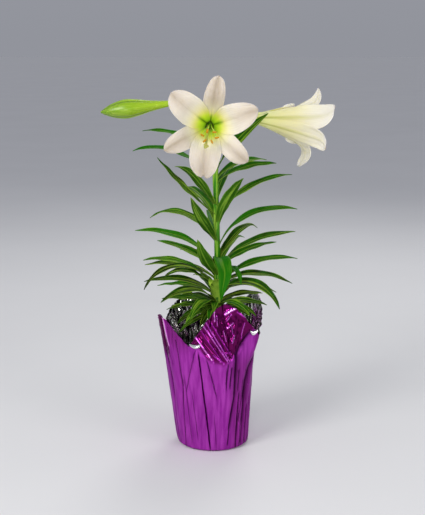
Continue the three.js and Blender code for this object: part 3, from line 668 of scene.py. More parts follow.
# Sharp folds, each a straight line: turn and height at both ends, its width, and how far it stands out or,
# below zero, how deep it is
FOLDS = [
    (-96, 194, -65, 137, 1.2, 1.3), (-91.5, 196, -62, 137, 1.2, 1.2), (-100, 188, -72, 137, 1.0, 0.9),
    (-86, 198, -58, 143, 1.1, 0.9), (-106, 176, -84, 139, 1.3, 1.4), (-84, 149, -69, 133, 1.1, 1.1),
    (-79, 212, -79.5, 197, 1.2, 1.6), (-75.5, 204, -76, 190, 1.0, 1.2), (-61, 204, -48, 212, 1.8, 1.9),
    (-60, 195, -53, 203, 0.8, 1.4), (-61, 184, -52, 191, 0.9, 1.5), (-67, 181, -64.4, 166, 0.8, 1.5),
    (-54, 185, -54.6, 176, 0.7, 1.3), (-52.5, 174, -56.5, 163, 0.8, 1.5), (-66, 150, -60, 150, 1.0, 1.0),
    (-46, 206, -31, 193, 1.2, 1.0), (-70, 196, -70, 176, 0.7, -1.2), (-83, 206, -86, 188, 0.8, -1.2),
    (-44, 196, -49, 168, 1.0, -1.4), (-38, 190, -42, 166, 0.9, 1.2), (-60, 176, -61, 152, 1.0, -1.6),
    (-32, 174, -42, 160, 2.2, -2.0), (-42, 160, -51, 146, 4.2, -2.8), (-51, 146, -53, 113, 4.0, -3.0),
    (-53, 113, -54, 86, 3.2, -2.8), (-54, 86, -63, 34, 2.2, -2.4), (-63, 34, -66, 8, 1.2, -1.8),
    (-40, 8, -37, 41, 2.4, -2.6), (-37, 41, -33, 80, 3.8, -3.2), (-33, 80, -31, 102, 5.5, -4.0),
    (-31, 102, -23, 120, 5.5, -4.0), (-23, 120, -12, 136, 5.5, -4.0), (-12, 136, -8, 156, 5.0, -3.5),
    (-9, 152, -16, 176, 4.0, -3.0), (-28, 6, -26, 60, 2.2, -2.0), (-46, 14, -44, 98, 1.1, 0.7),
    (-30, 12, -29, 74, 1.1, 0.7), (-51, 62, -47, 112, 1.0, 0.7), (-20, 70, -21, 104, 1.2, 0.7),
    (-158, 14, -156, 52, 1.8, -1.6), (-156, 52, -153, 79, 1.6, -1.6), (-153, 79, -153, 104, 2.0, -2.0),
    (-153, 104, -156, 128, 2.4, -2.2), (-156, 128, -164, 144, 3.4, -2.6), (-130, 116, -126, 101, 1.0, -1.0),
    (-59, 126, -62, 98, 1.8, -1.8), (-47, 122, -48, 92, 1.8, -1.8), (-53, 128, -47, 116, 1.6, -1.6),
    (-153, 199, -146, 156, 2.2, 1.9), (-163, 190, -159, 142, 5.0, -3.0), (-132.5, 166, -129, 98, 1.2, -2.0),
    (-150, 150, -144, 128, 0.9, -1.1), (-136, 186, -140, 160, 0.8, -0.9), (-26.5, 62, -29.3, 30, 1.7, -2.6),
    (-28.2, 26, -28.5, 4, 1.6, -2.4), (-38.6, 104, -39.5, 76, 1.1, -1.8), (-39.5, 76, -47.6, 43, 1.2, -2.0),
    (-47.6, 43, -50.8, 8, 1.3, -2.2), (-41, 84, -46, 42, 0.9, -1.6), (-64, 132, -67.4, 105, 1.4, -1.9),
    (-21, 122, -25, 96, 1.6, -4.5), (-33, 120, -30, 70, 1.0, -1.6),
]
# Two corners of film turned out over the edge: turn, height, breadth and drop
LIPS = {"foil_lip_left": (-105, 164.5, 16, 6.5), "foil_lip_right": (-28.5, 176.5, 8, 7)}


def back_pleats():
    pleats, turn = [], -10.0
    while turn < 188:
        ends = turn + draw.uniform(-6, 6), turn + draw.uniform(-6, 6)
        depth, width = draw.uniform(0.7, 2.6), draw.uniform(0.6, 2.2)
        pleats.append((*ends, depth, width, 0, 190))
        turn += draw.uniform(6, 17)
    return pleats


def little_dents():
    """Short raised folds below the front flap, which catch the light and carry a painted highlight."""
    dents = []
    for _ in range(34):
        height, length = draw.uniform(8, 112), draw.uniform(1, 5)
        turn = draw.normal(-71 - 0.06 * height, 3)
        end = turn + draw.uniform(-2, 2), height + length
        dents.append((turn, height, *end, 0.5, draw.uniform(0.6, 1.3)))
    return dents


PLEATS += back_pleats()
FOLDS += little_dents()


def edge_at(turn):
    """Height of the cover's edge and of its crease, and the bend at its top, blended between the marks."""
    marks = np.array(EDGE_MARKS + [(EDGE_MARKS[0][0] + 360, *EDGE_MARKS[0][1:])], float)
    turn = (turn - marks[0, 0]) % 360 + marks[0, 0]
    k = np.clip(np.searchsorted(marks[:, 0], turn, side="right") - 1, 0, len(EDGE_MARKS) - 1)
    part = (turn - marks[k, 0]) / (marks[k + 1, 0] - marks[k, 0])
    low = np.minimum(marks[k, 1], marks[k + 1, 1])
    rise = np.where(marks[k, 1] < marks[k + 1, 1], part, 1 - part)
    top = low + np.abs(marks[k, 1] - marks[k + 1, 1]) * sind(90 * rise)
    return top, mix(marks[k, 2], marks[k + 1, 2], part), mix(marks[k, 3], marks[k + 1, 3], part)


def apart(turn, other):
    return (turn - other + 180) % 360 - 180


def facets(points, size, seed, waves=5):
    """Straight-sided creases that cross at all angles, as in crushed film; from -0.5 to 0.5."""
    chance = np.random.default_rng(seed)
    warp = wander(points, 2.5 * size, seed)
    total = np.zeros(len(points))
    for _ in range(waves):
        way = chance.normal(size=3) * (1, 1, 0.6)
        way /= np.linalg.norm(way) * size * chance.uniform(0.8, 1.7)
        total += zigzag(points @ way + 0.5 * warp + chance.uniform(0, 9)) / waves
    return total - 0.5


def along_fold(turn, z, turn_a, z_a, turn_b, z_b, width):
    """1 on the straight line of a fold, falling off to 0 over its width and past its ends."""
    x, y = np.radians(apart(turn, turn_a)) * FOLD_RADIUS, z - z_a
    dx, dy = math.radians(turn_b - turn_a) * FOLD_RADIUS, z_b - z_a
    share = (x * dx + y * dy) / (dx * dx + dy * dy)
    away = np.hypot(x - share.clip(0, 1) * dx, y - share.clip(0, 1) * dy)
    return np.exp(-((away / width) ** 1.4))


def film_radius(turn, z):
    """The sheet's middle line before it is creased: straight up to the crease, then bent."""
    top, crease, bend = edge_at(turn)
    soft_foot = COVER["soft_foot"] * np.maximum(0, 1 - z / 5) ** 2
    lift = bend * np.maximum(0, (z - crease) / (top - crease))
    bulge = 4.5 * bell(apart(turn, -15), 13) * smooth(112, 146, z) * (1 - 0.4 * smooth(162, 180, z))
    return COVER["foot"] + COVER["rise"] * z - soft_foot + lift + bulge - COVER["inset"]


def film_turn(t):
    """The sheet's columns stand closer together round its front, where it is creased most."""
    front_from, front_breadth, front_share = -170, 160, 0.6
    back_share = 1 - front_share
    back = front_from + front_breadth + (360 - front_breadth) * t / back_share
    front = front_from + front_breadth * (t - back_share) / front_share
    return np.where(t < back_share, back, front)


def pleated(turn, z, spot, flap):
    """How deep each point is sunk by the pleats and folds, how far it is raised by folds and by the
    shoulders beside the pleats, and how much painted shade it takes in a fold."""
    sunk, raised, shoulder, fold = (np.zeros(len(z)) for _ in range(4))
    for low, high, depth, width, start, end in PLEATS:
        line = mix(low, high, z / PLEAT_TOP)
        away = np.radians(apart(turn, line)) * (COVER["foot"] + COVER["rise"] * z)
        away = away + max(0.5, 0.3 * width) * wander(spot * (0, 0, 1), 9, low)
        runs = smooth(start - 8, start + 8, z) * (1 - smooth(end - 14, end + 2, z)) * (1 - 0.9 * flap)
        groove = bell(away, width) * runs
        sunk = np.maximum(sunk, depth * groove)
        shoulder += 0.35 * depth * np.where(away > 0, np.exp(-np.abs(away) / 4), 0) * runs
        fold = np.maximum(fold, bell(away, 0.8 * width) * runs * min(1, depth / 1.5))
    for *line, height in FOLDS:
        near = along_fold(turn, z, *line)
        if height < 0:
            sunk = np.maximum(sunk, -height * near)
            fold = np.maximum(fold, near * min(1, -height / 2))
        else:
            raised = np.maximum(raised, height * near)
    return sunk, raised, shoulder, fold


def crushing(turn, z, spot, flap, others, right_side):
    """How far the crushed film stands in or out: on the front flap, the other flaps and the right side."""
    x, y = np.radians(apart(turn, FAN[0])) * FOLD_RADIUS, z - FAN[1]
    fan = np.degrees(np.arctan2(x, y))
    coarse = zigzag(fan / 9 + 0.35 * wander(spot, 22, 4))
    fine = zigzag(fan / 4.1 + 0.3 * wander(spot, 9, 5))
    relief = flap * (1.1 * (coarse + 0.5 * fine - 0.75) * smooth(3, 40, np.hypot(x, y)) - 0.7)
    relief += flap * (3.0 * facets(spot, 17, 6) + 0.6 * facets(spot, 8, 7))
    relief += right_side * 1.8 * facets(spot * (1, 1, 0.3), 9, 14)
    relief += others * 2.4 * facets(spot * (1, 1, 0.3), 14, 8)
    relief += others * 2.2 * facets(spot * (1, 1, 0.12), 8, 9)
    upright = zigzag(turn / 4.3 + 0.6 * wander(spot, 14, 12)) - 0.5
    return relief + others * 1.6 * upright * np.where(apart(turn, 0) < -100, 0.2, 1)


def film_rule(s, t):
    turn = film_turn(t)
    side = apart(turn, 0)
    top, crease, _ = edge_at(turn)
    foot_share, wall_share = 0.04, 0.42  # of the rows: the flat foot, then the wall up to the crease
    up = np.clip((s - foot_share) / (1 - foot_share), 0, 1)
    z = np.where(
        up < wall_share,
        crease * up / wall_share,
        crease + (top - crease) * (up - wall_share) / (1 - wall_share),
    )
    spot = ring(WALL_RADIUS, turn, z)

    # where the sheet is crushed, where its colour is also painted darker to stand for the dark it mirrors:
    # above the front flap's crease, on the other flaps, at the left flap's corner and lightly on the
    # right side
    vee = np.interp(side, *np.array(VEE).T)
    in_front = (side > VEE[0][0]) & (side < VEE[-1][0])
    flap = np.where(in_front, smooth(vee - 3, vee + 5, z), 0)
    others = np.where(in_front, 0, smooth(140, 175, z))
    corner = apart(turn, -160)
    left_corner = smooth(14, 10, corner) * smooth(-18, -12, corner) * smooth(128, 150, z)
    right_side = smooth(-68, -52, side) * (1 - smooth(-4, 8, side)) * (1 - smooth(124, 150, z))
    crushed = np.maximum.reduce([flap, 0.5 * others, left_corner, 0.35 * right_side])

    sunk, raised, shoulder, fold = pleated(turn, z, spot, flap)
    # where a painted highlight runs along the ridges of raised folds, fainter below the flaps
    crest_highlight = np.clip((raised - 0.4) * (1 - np.minimum(1, 2 * sunk)), 0, 1) * np.where(z > 125, 1, 0.7)
    relief = (raised + np.minimum(shoulder, 1.2)) * (1 - np.minimum(1, sunk)) - sunk
    relief += 0.9 * wander(spot * (1, 1, 0.25), 16, 1) + 0.35 * wander(spot * (1, 1, 0.2), 6, 2)
    relief += 0.8 * facets(spot * (1, 1, 0.5), 22, 3) + 0.5 * facets(spot * (1, 1, 0.7), 10, 13)
    relief += crushing(turn, z, spot, flap, others, right_side)
    relief *= smooth(0, 12, z)

    r = film_radius(turn, z) + relief + 0.8 * smooth(0.95, 1, up)
    flat_foot = COVER["foot"] - COVER["inset"] - COVER["soft_foot"]
    r = np.where(s < foot_share, flat_foot * s / foot_share, r)
    ragged = np.where(top > 150, 1.8 * wander(spot, 9, 10) * smooth(0.9, 1, up), 0)
    points = ring(r, turn, z + ragged)
    points[:, 0] += COVER["lean"] * z
    # the inner face takes a painted purple reflection where the right-hand flap curves round
    painted_purple_reflection = 0.8 * smooth(-16, -8, side) * (1 - smooth(17, 24, side)) * (1 - smooth(192, 206, z))
    return points, {"fold": fold, "crest_highlight": crest_highlight, "crushed": crushed, "painted_purple_reflection": painted_purple_reflection}


def folded_lip(name, turn, height, breadth, drop, face):
    """A corner of film turned out and down over the edge, with its silver side showing."""
    def rule(s, t):
        spread = np.sqrt(np.maximum(0, 1 - t**2))
        z = height - drop * s * spread + 1.2 * t**2
        side = turn + np.degrees(breadth / 2 * t / FOLD_RADIUS)
        r = film_radius(side, z) + 1.6 + 2.4 * sind(180 * s) * spread
        return ring(r, side, z) + stack(COVER["lean"] * z, 0, 0), {}
    return thickened(formed(name, 8, 14, rule), COVER["film"], [face])


def foil_cover():
    # the silver inside runs down to near black: painted shade in its creases
    outside, inside = purple_film(), silver_film("metallised_film_silver", "232325", "F4F4EC", 0.6)
    stretched = silver_film("metallised_film_silver_stretched", "E4E4E4", "FAFAF8", 0.1)
    sheet = formed("pleated_foil", 104, 440, film_rule, around=True)
    thickened(sheet, COVER["film"], [outside, inside], offset=-1)
    finished(sheet, [], ["foil_cover"], angle=32)
    for name, lip in LIPS.items():
        finished(folded_lip(name, *lip, stretched), [], [])


# The grow pot, raised ring by ring from its floor
def grow_pot():
    low, floor, wall, lip = POT["foot_ring"], POT["floor"], POT["wall"], POT["lip"]
    foot, rim, height = POT["foot"], POT["rim"], POT["height"]
    lip_foot = height - POT["lip_height"]
    profile = [
        (foot - 6, floor), (foot - 4, low), (foot, low), (rim - lip, lip_foot), (rim, lip_foot),
        (rim + 0.6, height), (rim - lip, height), (rim - lip - wall, lip_foot), (foot - wall, floor + wall),
        (2, floor + wall),
    ]
    deselect()
    bpy.ops.mesh.primitive_circle_add(
        vertices=96, radius=2 * MM, fill_type="NGON", location=(POT["x"] * MM, 0, floor * MM))
    pot = bpy.context.object
    pot.name = pot.data.name = "moulded_pot"
    bpy.ops.object.transform_apply(location=True)

    def raise_rings():
        bpy.ops.mesh.select_mode(type="EDGE")
        bpy.ops.mesh.select_all(action="DESELECT")
        bpy.ops.mesh.select_non_manifold()
        at = (2, floor)
        for r, z in profile:
            bpy.ops.mesh.extrude_region_move(TRANSFORM_OT_translate={"value": (0, 0, (z - at[1]) * MM)})
            grow = r / at[0]
            bpy.ops.transform.resize(value=(grow, grow, 1), center_override=(POT["x"] * MM, 0, z * MM))
            at = (r, z)
        bpy.ops.mesh.edge_face_add()
        bpy.ops.mesh.select_all(action="SELECT")
        bpy.ops.mesh.normals_make_consistent(inside=False)

    in_edit_mode(pot, raise_rings)
    for k in range(POT["holes"]):
        a = 360 * k / POT["holes"]
        x, y = POT["x"] + POT["hole_ring"] * cosd(a), POT["hole_ring"] * sind(a)
        bpy.ops.mesh.primitive_cylinder_add(
            vertices=32, radius=POT["hole"] * MM, depth=10 * MM, location=(x * MM, y * MM, floor * MM))
        drain = bpy.context.object
        apply(pot, "BOOLEAN", object=drain, operation="DIFFERENCE", solver="EXACT")
        bpy.data.objects.remove(drain)
    apply(pot, "BEVEL", width=0.4 * MM, segments=2, limit_method="ANGLE", angle_limit=math.radians(40))
    finished(pot, [pot_plastic()], ["grow_pot"], angle=35)


# The potting mix and the crumbs on it
def mix_wall(z):
    """The mix's radius at a height, just clear of the pot's inner face."""
    low = POT["foot"] - POT["wall"]
    high = POT["rim"] - POT["lip"] - POT["wall"]
    share = (z - MIX["floor"]) / (POT["height"] - POT["lip_height"] - MIX["floor"])
    return mix(low, high, share) - MIX["clear"]


def mix_top(x, y):
    r, a = np.hypot(x, y), np.arctan2(y, x)
    return MIX["top"] + 1.1 * (np.sin(0.31 * r + 3 * a) + np.sin(0.23 * r - 5 * a + 1))


def potting_mix():
    foot, crust = MIX["floor"], MIX["crust"]
    floor_share, wall_share = 0.1, 0.3  # of the rows: the floor, then the wall up to the crust

    def rule(s, t):
        wall_z = mix(foot, crust, (s - floor_share) / (wall_share - floor_share))
        inward = (s - wall_share) / (1 - wall_share)
        r = np.where(s < wall_share, mix_wall(wall_z), mix_wall(crust) * (1 - inward))
        r = np.where(s < floor_share, mix_wall(foot) * s / floor_share, r)
        x, y = r * cosd(360 * t), r * sind(360 * t)
        crown = np.minimum(1, (s - wall_share) / 0.04)
        z = np.where(s < wall_share, wall_z, mix(crust, mix_top(x, y), crown))
        points = stack(x, y, np.where(s < floor_share, foot, z))
        rough = crown * (1.2 * wander(points, 5, 11) + 0.6 * wander(points, 2, 12))
        points[:, 2] += np.where(s < wall_share, 0, rough)
        points[:, 0] += POT["x"]
        return points, {}

    earth = formed("peat_mix", 90, 160, rule, around=True)
    finished(earth, [peat()], ["potting_mix"])
    scattered("bark_crumbs", 230, (2.0, 5.5), (1.0, 0.7, 0.45), bark())
    scattered("perlite_grains", 60, (1.4, 3.0), (1.0, 0.9, 0.8), perlite())


def scattered(name, count, sizes, shape, material):
    """Crumbs of 20 faces each, lying half sunk in the mix up to this far from its middle."""
    spread = 50
    crumbs = []
    for _ in range(count):
        r = spread * math.sqrt(draw.uniform(0.03, 0.98))
        a = draw.uniform(0, 2 * math.pi)
        x, y = r * math.cos(a), r * math.sin(a)
        deselect()
        bpy.ops.mesh.primitive_ico_sphere_add(subdivisions=1, radius=draw.uniform(*sizes) / 2 * MM)
        crumb = bpy.context.object
        for corner in crumb.data.vertices:
            corner.co *= draw.uniform(0.75, 1.25)
        crumb.scale = shape
        crumb.rotation_euler = draw.uniform(-0.5, 0.5, 2).tolist() + [draw.uniform(0, 6.28)]
        crumb.location = ((x + POT["x"]) * MM, y * MM, (float(mix_top(x, y)) + 0.3) * MM)
        bpy.ops.object.transform_apply(location=True, rotation=True, scale=True)
        crumbs.append(crumb)
    finished(joined(name, crumbs), [material], ["potting_mix"])


# The stem, its stalks and its leaves
def stem_at(z):
    return stack(mix(STEM["x"], STEM["top_x"], smooth(STEM["straight_to"], STEM["top"], z)), 0, z)


def stem_radius(z):
    low, high = STEM["low"], STEM["high"]
    return np.interp(z, [200, STEM["straight_to"], STEM["top"]], [low, (low + high) / 2, high])


def lily_stem():
    foot, top = STEM["foot"], STEM["top"] + 1

    def rule(s, t):
        inner = np.clip((s - 0.01) / 0.98, 0, 1)
        z = mix(foot, top, inner)
        turn = 360 * t
        r = stem_radius(z)
        for height, way, *_ in LEAVES:
            # a rib runs down the stem below each leaf, from a small cushion at the leaf's foot
            rib = smooth(height - 34, height - 2, z) * (1 - smooth(height, height + 4, z))
            r = r + 0.55 * rib * bell(apart(turn, way), 17)
        r = r + 0.12 * cosd(7 * turn)
        r = np.where((s < 0.005) | (s > 0.995), 0, r)
        return stem_at(z) + ring(r, turn, 0), {}

    parts = [formed("main", 200, 36, rule, around=True)]
    # each stalk rises this far before it bends over to its flower
    for one, reach in ((BLOOMS["front"], 42), (BLOOMS["side"], 34), (BUD, 34)):
        facing = direction(one["turn"], one["tilt"])
        start = stem_at(STEM["top"] - 6)
        end = np.array(one["foot"]) - GAP * facing
        lean = end - start
        away = start + np.array([lean[0] / 4, lean[1] / 4, reach])
        parts.append(swept(
            "stalk", 48, 20, bezier(start, away, end - facing * reach * 0.6, end),
            lambda s: PEDICEL + 0.9 * smooth(0.88, 1, s) + 0.7 * (1 - smooth(0, 0.16, s)),
            lambda s, a: 0.14 * cosd(3 * a),
        ))
    finished(joined("lily_stem", parts), [stem_skin()], ["leafy_stem"])


def leaf_rule(height, turn, rise, end, late, length, width, twist, shade, hook, chance):
    steps = 40
    middle = (np.arange(steps) + 0.5) / steps
    ahead = direction(turn, mix(rise, end, middle**late)) * length / steps
    line = stem_at(height) + 2 * direction(turn, 0) + np.vstack([np.zeros(3), np.cumsum(ahead, axis=0)])
    wave, phase = chance.uniform(2.2, 4.5), chance.uniform(0, 6.28, 2)

    def rule(s, t):
        widest = 0.4
        grow = mix(0.44, 1, np.sin(np.pi / 2 * np.minimum(1, s / widest)))
        taper = (1 - np.clip((s - widest) / (1 - widest), 0, 1) ** 1.9) ** 0.85
        half = width / 2 * np.maximum(0.02, np.where(s < widest, grow, taper))
        up = mix(rise, end, s**late)
        side, out = direction(turn - 90, np.zeros(len(s))), direction(turn, up + 90)
        roll = twist * smooth(0, 0.6, s)
        across = side * cosd(roll)[:, None] + out * sind(roll)[:, None]
        above = out * cosd(roll)[:, None] - side * sind(roll)[:, None]
        w = half * t
        # a channelled blade with a sunk midrib, its margins a little wavy and turned down at the edge
        lift = 0.34 * np.abs(w) + 0.25 * bell(t, 0.3) - 0.3 * bell(t, 0.12) - 0.5 * np.abs(t) ** 6
        ruffle = np.sin(2 * np.pi * wave * s + np.where(t > 0, *phase)) * np.abs(t) ** 2.5
        lift = lift + 0.75 * ruffle * smooth(0.1, 0.4, s) * (1 - smooth(0.9, 1, s))
        sway = 1.6 * hook * smooth(0.6, 1, s)
        points = sampled(line, s * steps) + across * (w + sway)[:, None] + above * lift[:, None]
        return points, {"shade": shade}
    return rule


def lily_leaves():
    chance = np.random.default_rng(21)
    blades = []
    for row in LEAVES + LOW_LEAVES:
        # each leaf's shade differs at random, and low on the stem it is darker: painted shade under the
        # leaves above
        shade = chance.uniform(-0.2, 0.42) + 0.24 * smooth(210, 330, row[0])
        # for the values that a row leaves out: twist, paleness and hook
        usual = (-32 * cosd(row[1]), shade, chance.uniform(-1, 1))
        rule = leaf_rule(*row, *usual[len(row) - LEAF_VALUES:], chance)
        blades.append(formed("blade", 30, 14, rule))
    faces = [
        leaf_face("leaf_upper_face", "001200", "186402", "98BA38", 0.46),
        leaf_face("leaf_under_face", "0E3602", "2A5C08", "8EB43C", 0.6),
    ]
    leaves = thickened(joined("lily_leaves", blades), 0.55, faces)
    finished(leaves, [], ["leafy_stem"])


# Flowers. In a flower's own frame the trumpet runs up +Z.
def faced(points, one):
    facing = direction(one["turn"], one["tilt"])
    right = np.array([-sind(one["turn"]), cosd(one["turn"]), 0])
    return np.array(one["foot"]) + points @ np.array([right, np.cross(facing, right), facing])


def tepal_lean(s, curl, start, flare):
    """How far a tepal leans out from the trumpet's axis: at its foot, along the funnel and at its tip."""
    foot = 52 * (1 - smooth(0, 0.07, s))
    funnel = flare * smooth(0.08, 0.36, s) + 4 * smooth(0.36, 0.65, s)
    return 1 + foot + funnel + curl * smooth(start, 1.04, s)


def tepal_rule(one, row, wide, notched, chance):
    at, length, curl, start, flare, swing, green, blunt, breadth, aside = row
    steps = 120
    middle = (np.arange(steps) + 0.5) / steps
    lean = tepal_lean(middle, curl, start, flare)
    ahead = np.stack([sind(lean), cosd(lean)], 1) * length / steps
    line = np.array([2, 0.8]) + np.vstack([np.zeros(2), np.cumsum(ahead, axis=0)])
    layer = (-1 if wide else 1) * TEPAL["layer"]
    wave, phase, sway = chance.uniform(1.6, 2.8), chance.uniform(0, 6.28, 2), chance.uniform(-1.5, 1.5)

    def rule(share, t):
        s = 1 - (1 - share) ** 1.3
        r, z = sampled(line, s * steps).T
        lean = tepal_lean(s, curl, start, flare)
        full = (TEPAL["wide"] if wide else TEPAL["narrow"]) * mix(1, breadth, smooth(0.5, 0.75, s))
        mouth = mix(2.6, full, smooth(0, 0.74, s) ** 1.1)
        near_tip = np.maximum(0, (s - 0.62) / 0.38)
        half = mouth * np.maximum(0.003, 1 - near_tip**blunt) ** 0.54
        hollow = mix(r, 70, smooth(0.62, 0.9, s))
        turn = t * half / hollow
        # a midrib that stands out on the outer face, and margins that ruffle near the mouth
        rib = 0.4 * bell(np.abs(t) - 0.26, 0.12) - (1.4 if notched else 0.5) * bell(t, 0.11)
        rib = rib * smooth(0.35, 0.6, s) * (1 - smooth(0.9, 1, s))
        ruffle = np.sin(2 * np.pi * wave * s + np.where(t > 0, *phase)) * np.abs(t) ** 3
        ruffle = 1.9 * ruffle * smooth(0.5, 0.75, s) * (1 - smooth(0.96, 1, s))
        rolled = -1.8 * smooth(0.6, 1, np.abs(t)) * smooth(0.5, 0.75, s) * (1 - smooth(0.9, 1, s))
        hood = 1.6 * smooth(0.93, 1, s) * (1 - np.abs(t))
        roll = swing * smooth(0.45, 0.95, s)
        side = hollow * np.sin(turn)
        inward = hollow * (1 - np.cos(turn)) - layer * smooth(0, 0.06, s) + rib + ruffle + rolled + hood
        inward, side = inward * cosd(roll) + side * sind(roll), side * cosd(roll) - inward * sind(roll)
        back = 5 * notched * bell(t * half, 2.2) * smooth(0.86, 1, s)
        flat = np.stack([r - inward * cosd(lean) - back * sind(lean),
                         side + sway * smooth(0.7, 1, s) + aside * (mouth - half),
                         z + inward * sind(lean) - back * cosd(lean)], 1)
        x = flat[:, 0] * cosd(at) - flat[:, 1] * sind(at)
        y = flat[:, 0] * sind(at) + flat[:, 1] * cosd(at)
        painted = {"along": s / green, "furrow": smooth(-0.7, 0.3, sind(at))}
        return faced(np.stack([x, y, flat[:, 2]], 1), one), painted
    return rule


def turned(name, one, profile, sides, along, lobes=0.0, at=(0, 0, 0)):
    """A small solid of revolution on a flower's axis, lobed in three where asked."""
    def rule(s, t):
        r, z = sampled(np.array(profile, float), s * (len(profile) - 1)).T
        r = r * (1 + lobes * cosd(3 * 360 * t))
        return faced(ring(r, 360 * t, z) + np.array(at), one), {"along": along}
    return formed(name, 4 * (len(profile) - 1), sides, rule, around=True)


def thread_path(a, out, reach, sag):
    def at(share, fall, z):
        return (share * out * cosd(a), 0.75 * share * out * sind(a) - fall * sag, z)
    return through([at(0.16, 0, 7.8), at(0.23, 0.04, 36), at(0.53, 0.4, 0.66 * reach), at(1, 1, reach)])


def trumpet(name, one, materials):
    chance = np.random.default_rng(one["seed"])
    sheets = []
    for k, row in enumerate(one["tepals"]):
        rule = tepal_rule(one, row, k % 2 == 0, k == one["notched"], chance)
        sheets.append(formed("tepal", 68, 36, rule))
    faces = [materials["outer"], materials["inner"]]
    sheets = thickened(joined("tepals", sheets), TEPAL["thickness"], faces)
    # the knob takes the inner face's dark green from low in the throat, partly painted shade
    knob = turned("knob", one, KNOB, 36, 0.12)
    knob.data.materials.append(materials["inner"])
    finished(joined(f"{name}_trumpet", [sheets, knob]), [], [f"{name}_bloom_tepals"])

    threads = []
    for k in range(6):
        a = one["tepals"][0][0] + 60 * k + 30
        path = thread_path(a, one["bow"], one["stamen"] + 5 * cosd(3 * a), one["stamen_sag"])
        threads.append(swept("filament", 30, 12, lambda s, p=path: faced(p(s), one),
                             lambda s: mix(1.15, 0.6, s)))
        anther(f"{name}_anther_{k + 1}", one, k, path, materials["pollen"], f"{name}_bloom_anther_{k + 1}")
    threads.append(turned("seat", one, SEAT, 24, 0.0))
    node = f"{name}_bloom_stamens_pistil"
    finished(joined(f"{name}_filaments", threads), [materials["filament"]], [node])

    path = thread_path(200, 5, one["pistil"], one["pistil_sag"])
    style = swept("style", 40, 16, lambda s: faced(path(s), one), lambda s: mix(1.35, 1.5, s),
                  lambda s, a: 0.12 * cosd(3 * a))
    stigma = turned("stigma", one, STIGMA, 36, 1.0, lobes=0.17, at=path(np.array([1.0]))[0])
    finished(joined(f"{name}_pistil", [style, stigma]), [materials["pistil"]], [node])


def anther(name, one, k, path, material, node):
    tip = path(np.array([0.97, 1.0]))
    ahead = (tip[1] - tip[0]) / np.linalg.norm(tip[1] - tip[0])
    swing = np.array([math.cos(1.3 * k), math.sin(1.3 * k), 0.5])
    swing /= np.linalg.norm(swing)
    lean = abs(swing @ ahead)
    seat = tip[1] + ahead * (ANTHER["radius"] + GAP + FILAMENT * lean) / math.sqrt(1 - lean * lean)
    half = ANTHER["length"] / 2

    def arched(s):
        reach = (2 * np.asarray(s) - 1)[:, None]
        return faced(seat + swing * half * reach - ahead * 0.8 * reach**2, one)

    def plump(s):
        return ANTHER["radius"] * np.sqrt(np.maximum(0, 1 - np.abs(2 * s - 1) ** 2.6))

    lobed = swept(name, 24, 20, arched, plump, lambda s, a: 0.16 * plump(s) * cosd(2 * a))
    finished(lobed, [material], [node])


def lily_bud():
    path = through([(share, r, 0) for share, r in BUD["profile"]])

    def rule(s, t):
        where = np.clip((s - 0.006) / 0.988, 0, 1)
        knots = path(where)
        share, r = np.clip(knots[:, 0], 0, 1), knots[:, 1]
        a = 360 * t
        full = smooth(0.1, 0.5, share)
        lobe = cosd(3 * a)
        seam = bell(lobe + 1, 0.09) * full
        ridge = bell(lobe - 1, 0.12) * full
        r = r * (1 + BUD["rib"] * full * lobe - 0.055 * seam + 0.03 * ridge)
        r = np.where((s < 0.003) | (s > 0.997), 0, r)
        points = ring(r, a, share * BUD["length"] + 0.8 * (s > 0.997))
        # the seam also darkens the skin there: painted shade in the creases
        return faced(points, BUD), {"along": share, "seam": 0.75 * seam}

    finished(formed("lily_bud", 130, 90, rule, around=True), [bud_skin()], ["bud"])


# The studio. Its lights and its floor are placed in metres.
def set_camera():
    data = bpy.data.cameras.new("camera")
    camera = bpy.data.objects.new("camera", data)
    bpy.context.scene.collection.objects.link(camera)
    camera.location = Vector(VIEW["place"]) * MM
    camera.rotation_euler = (math.radians(90 - VIEW["pitch"]), 0, 0)
    data.sensor_width = VIEW["sensor"]
    data.lens = VIEW["sensor"] * VIEW["focus"] / VIEW["frame_height"]
    bpy.context.scene.camera = camera


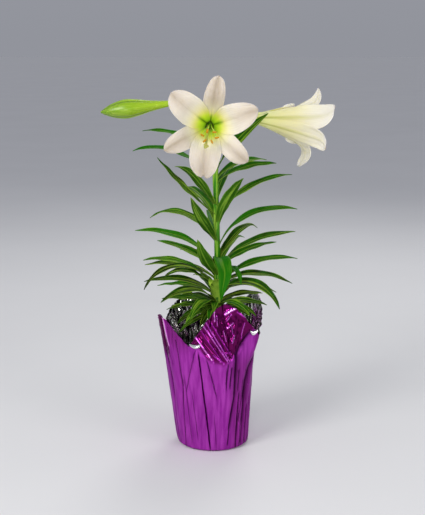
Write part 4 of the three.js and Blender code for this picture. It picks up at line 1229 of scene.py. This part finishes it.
def soft_light(name, place, aim, size, power):
    data = bpy.data.lights.new(name, "AREA")
    data.shape, data.size, data.energy = "DISK", size, power
    light = bpy.data.objects.new(name, data)
    bpy.context.scene.collection.objects.link(light)
    light.location = place
    light.rotation_euler = (Vector(aim) - Vector(place)).to_track_quat("-Z", "Y").to_euler()


def studio():
    deselect()
    bpy.ops.mesh.primitive_grid_add(x_subdivisions=8, y_subdivisions=8, size=60)
    floor = bpy.context.object
    floor.name = "studio_floor"
    floor.data.materials.append(studio_floor())
    world = bpy.context.scene.world or bpy.data.worlds.new("studio")
    bpy.context.scene.world = world
    # A pale ceiling that darkens towards the horizon, where it has the brightness of the far floor
    sky = Finish("studio", world)
    height = sky.add("SeparateXYZ", (sky.add("TexCoord").outputs["Generated"],)).outputs["Z"]
    tone = sky.add("ValToRGB", (height,), stops=[(0.0, "92949C"), (1.0, "B2B5C0")])
    sky.set(sky.tree.nodes["Background"], {"Color": tone, "Strength": 1.0})
    soft_light("key", (-1.2, -1.4, 1.7), (0, 0, 0.3), 1.0, 26)
    soft_light("fill", (1.4, -1.1, 0.9), (0, 0, 0.3), 1.0, 7)
    soft_light("front", (-0.15, -2.4, 0.75), (0, 0, 0.45), 0.7, 16)
    soft_light("back", (0.4, 1.4, 1.6), (0, 0, 0.35), 0.9, 10)
    bpy.context.scene.view_settings.view_transform = "Standard"


set_camera()
studio()
foil_cover()
grow_pot()
potting_mix()
# the bulb, buried in the mix, keeps the frame's own shape
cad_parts["bulb"].data.materials.clear()
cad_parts["bulb"].data.materials.append(bulb_scales())
lily_stem()
lily_leaves()
finishes = {
    "outer": tepal_face(
        "tepal_outer_face", OUTER_TONES, rib="9CA040", rib_strength=0.85, rib_width=0.13,
        furrow=0.0, tip_shade=0.1, glow=0.03,
    ),
    "inner": tepal_face(
        "tepal_inner_face", INNER_TONES, rib="AFA08C", rib_strength=0.35, rib_width=0.08,
        furrow=0.85, tip_shade=0.72, glow=0.2,
    ),
    "filament": thread_skin("stamen_filament", "84B81C", "C0D860", 0.55),
    "pistil": thread_skin("pistil_style", "A4CC2C", "A6A44C", 0.6),
    "pollen": pollen(),
}
for name, one in BLOOMS.items():
    trumpet(name, one, finishes)
lily_bud()
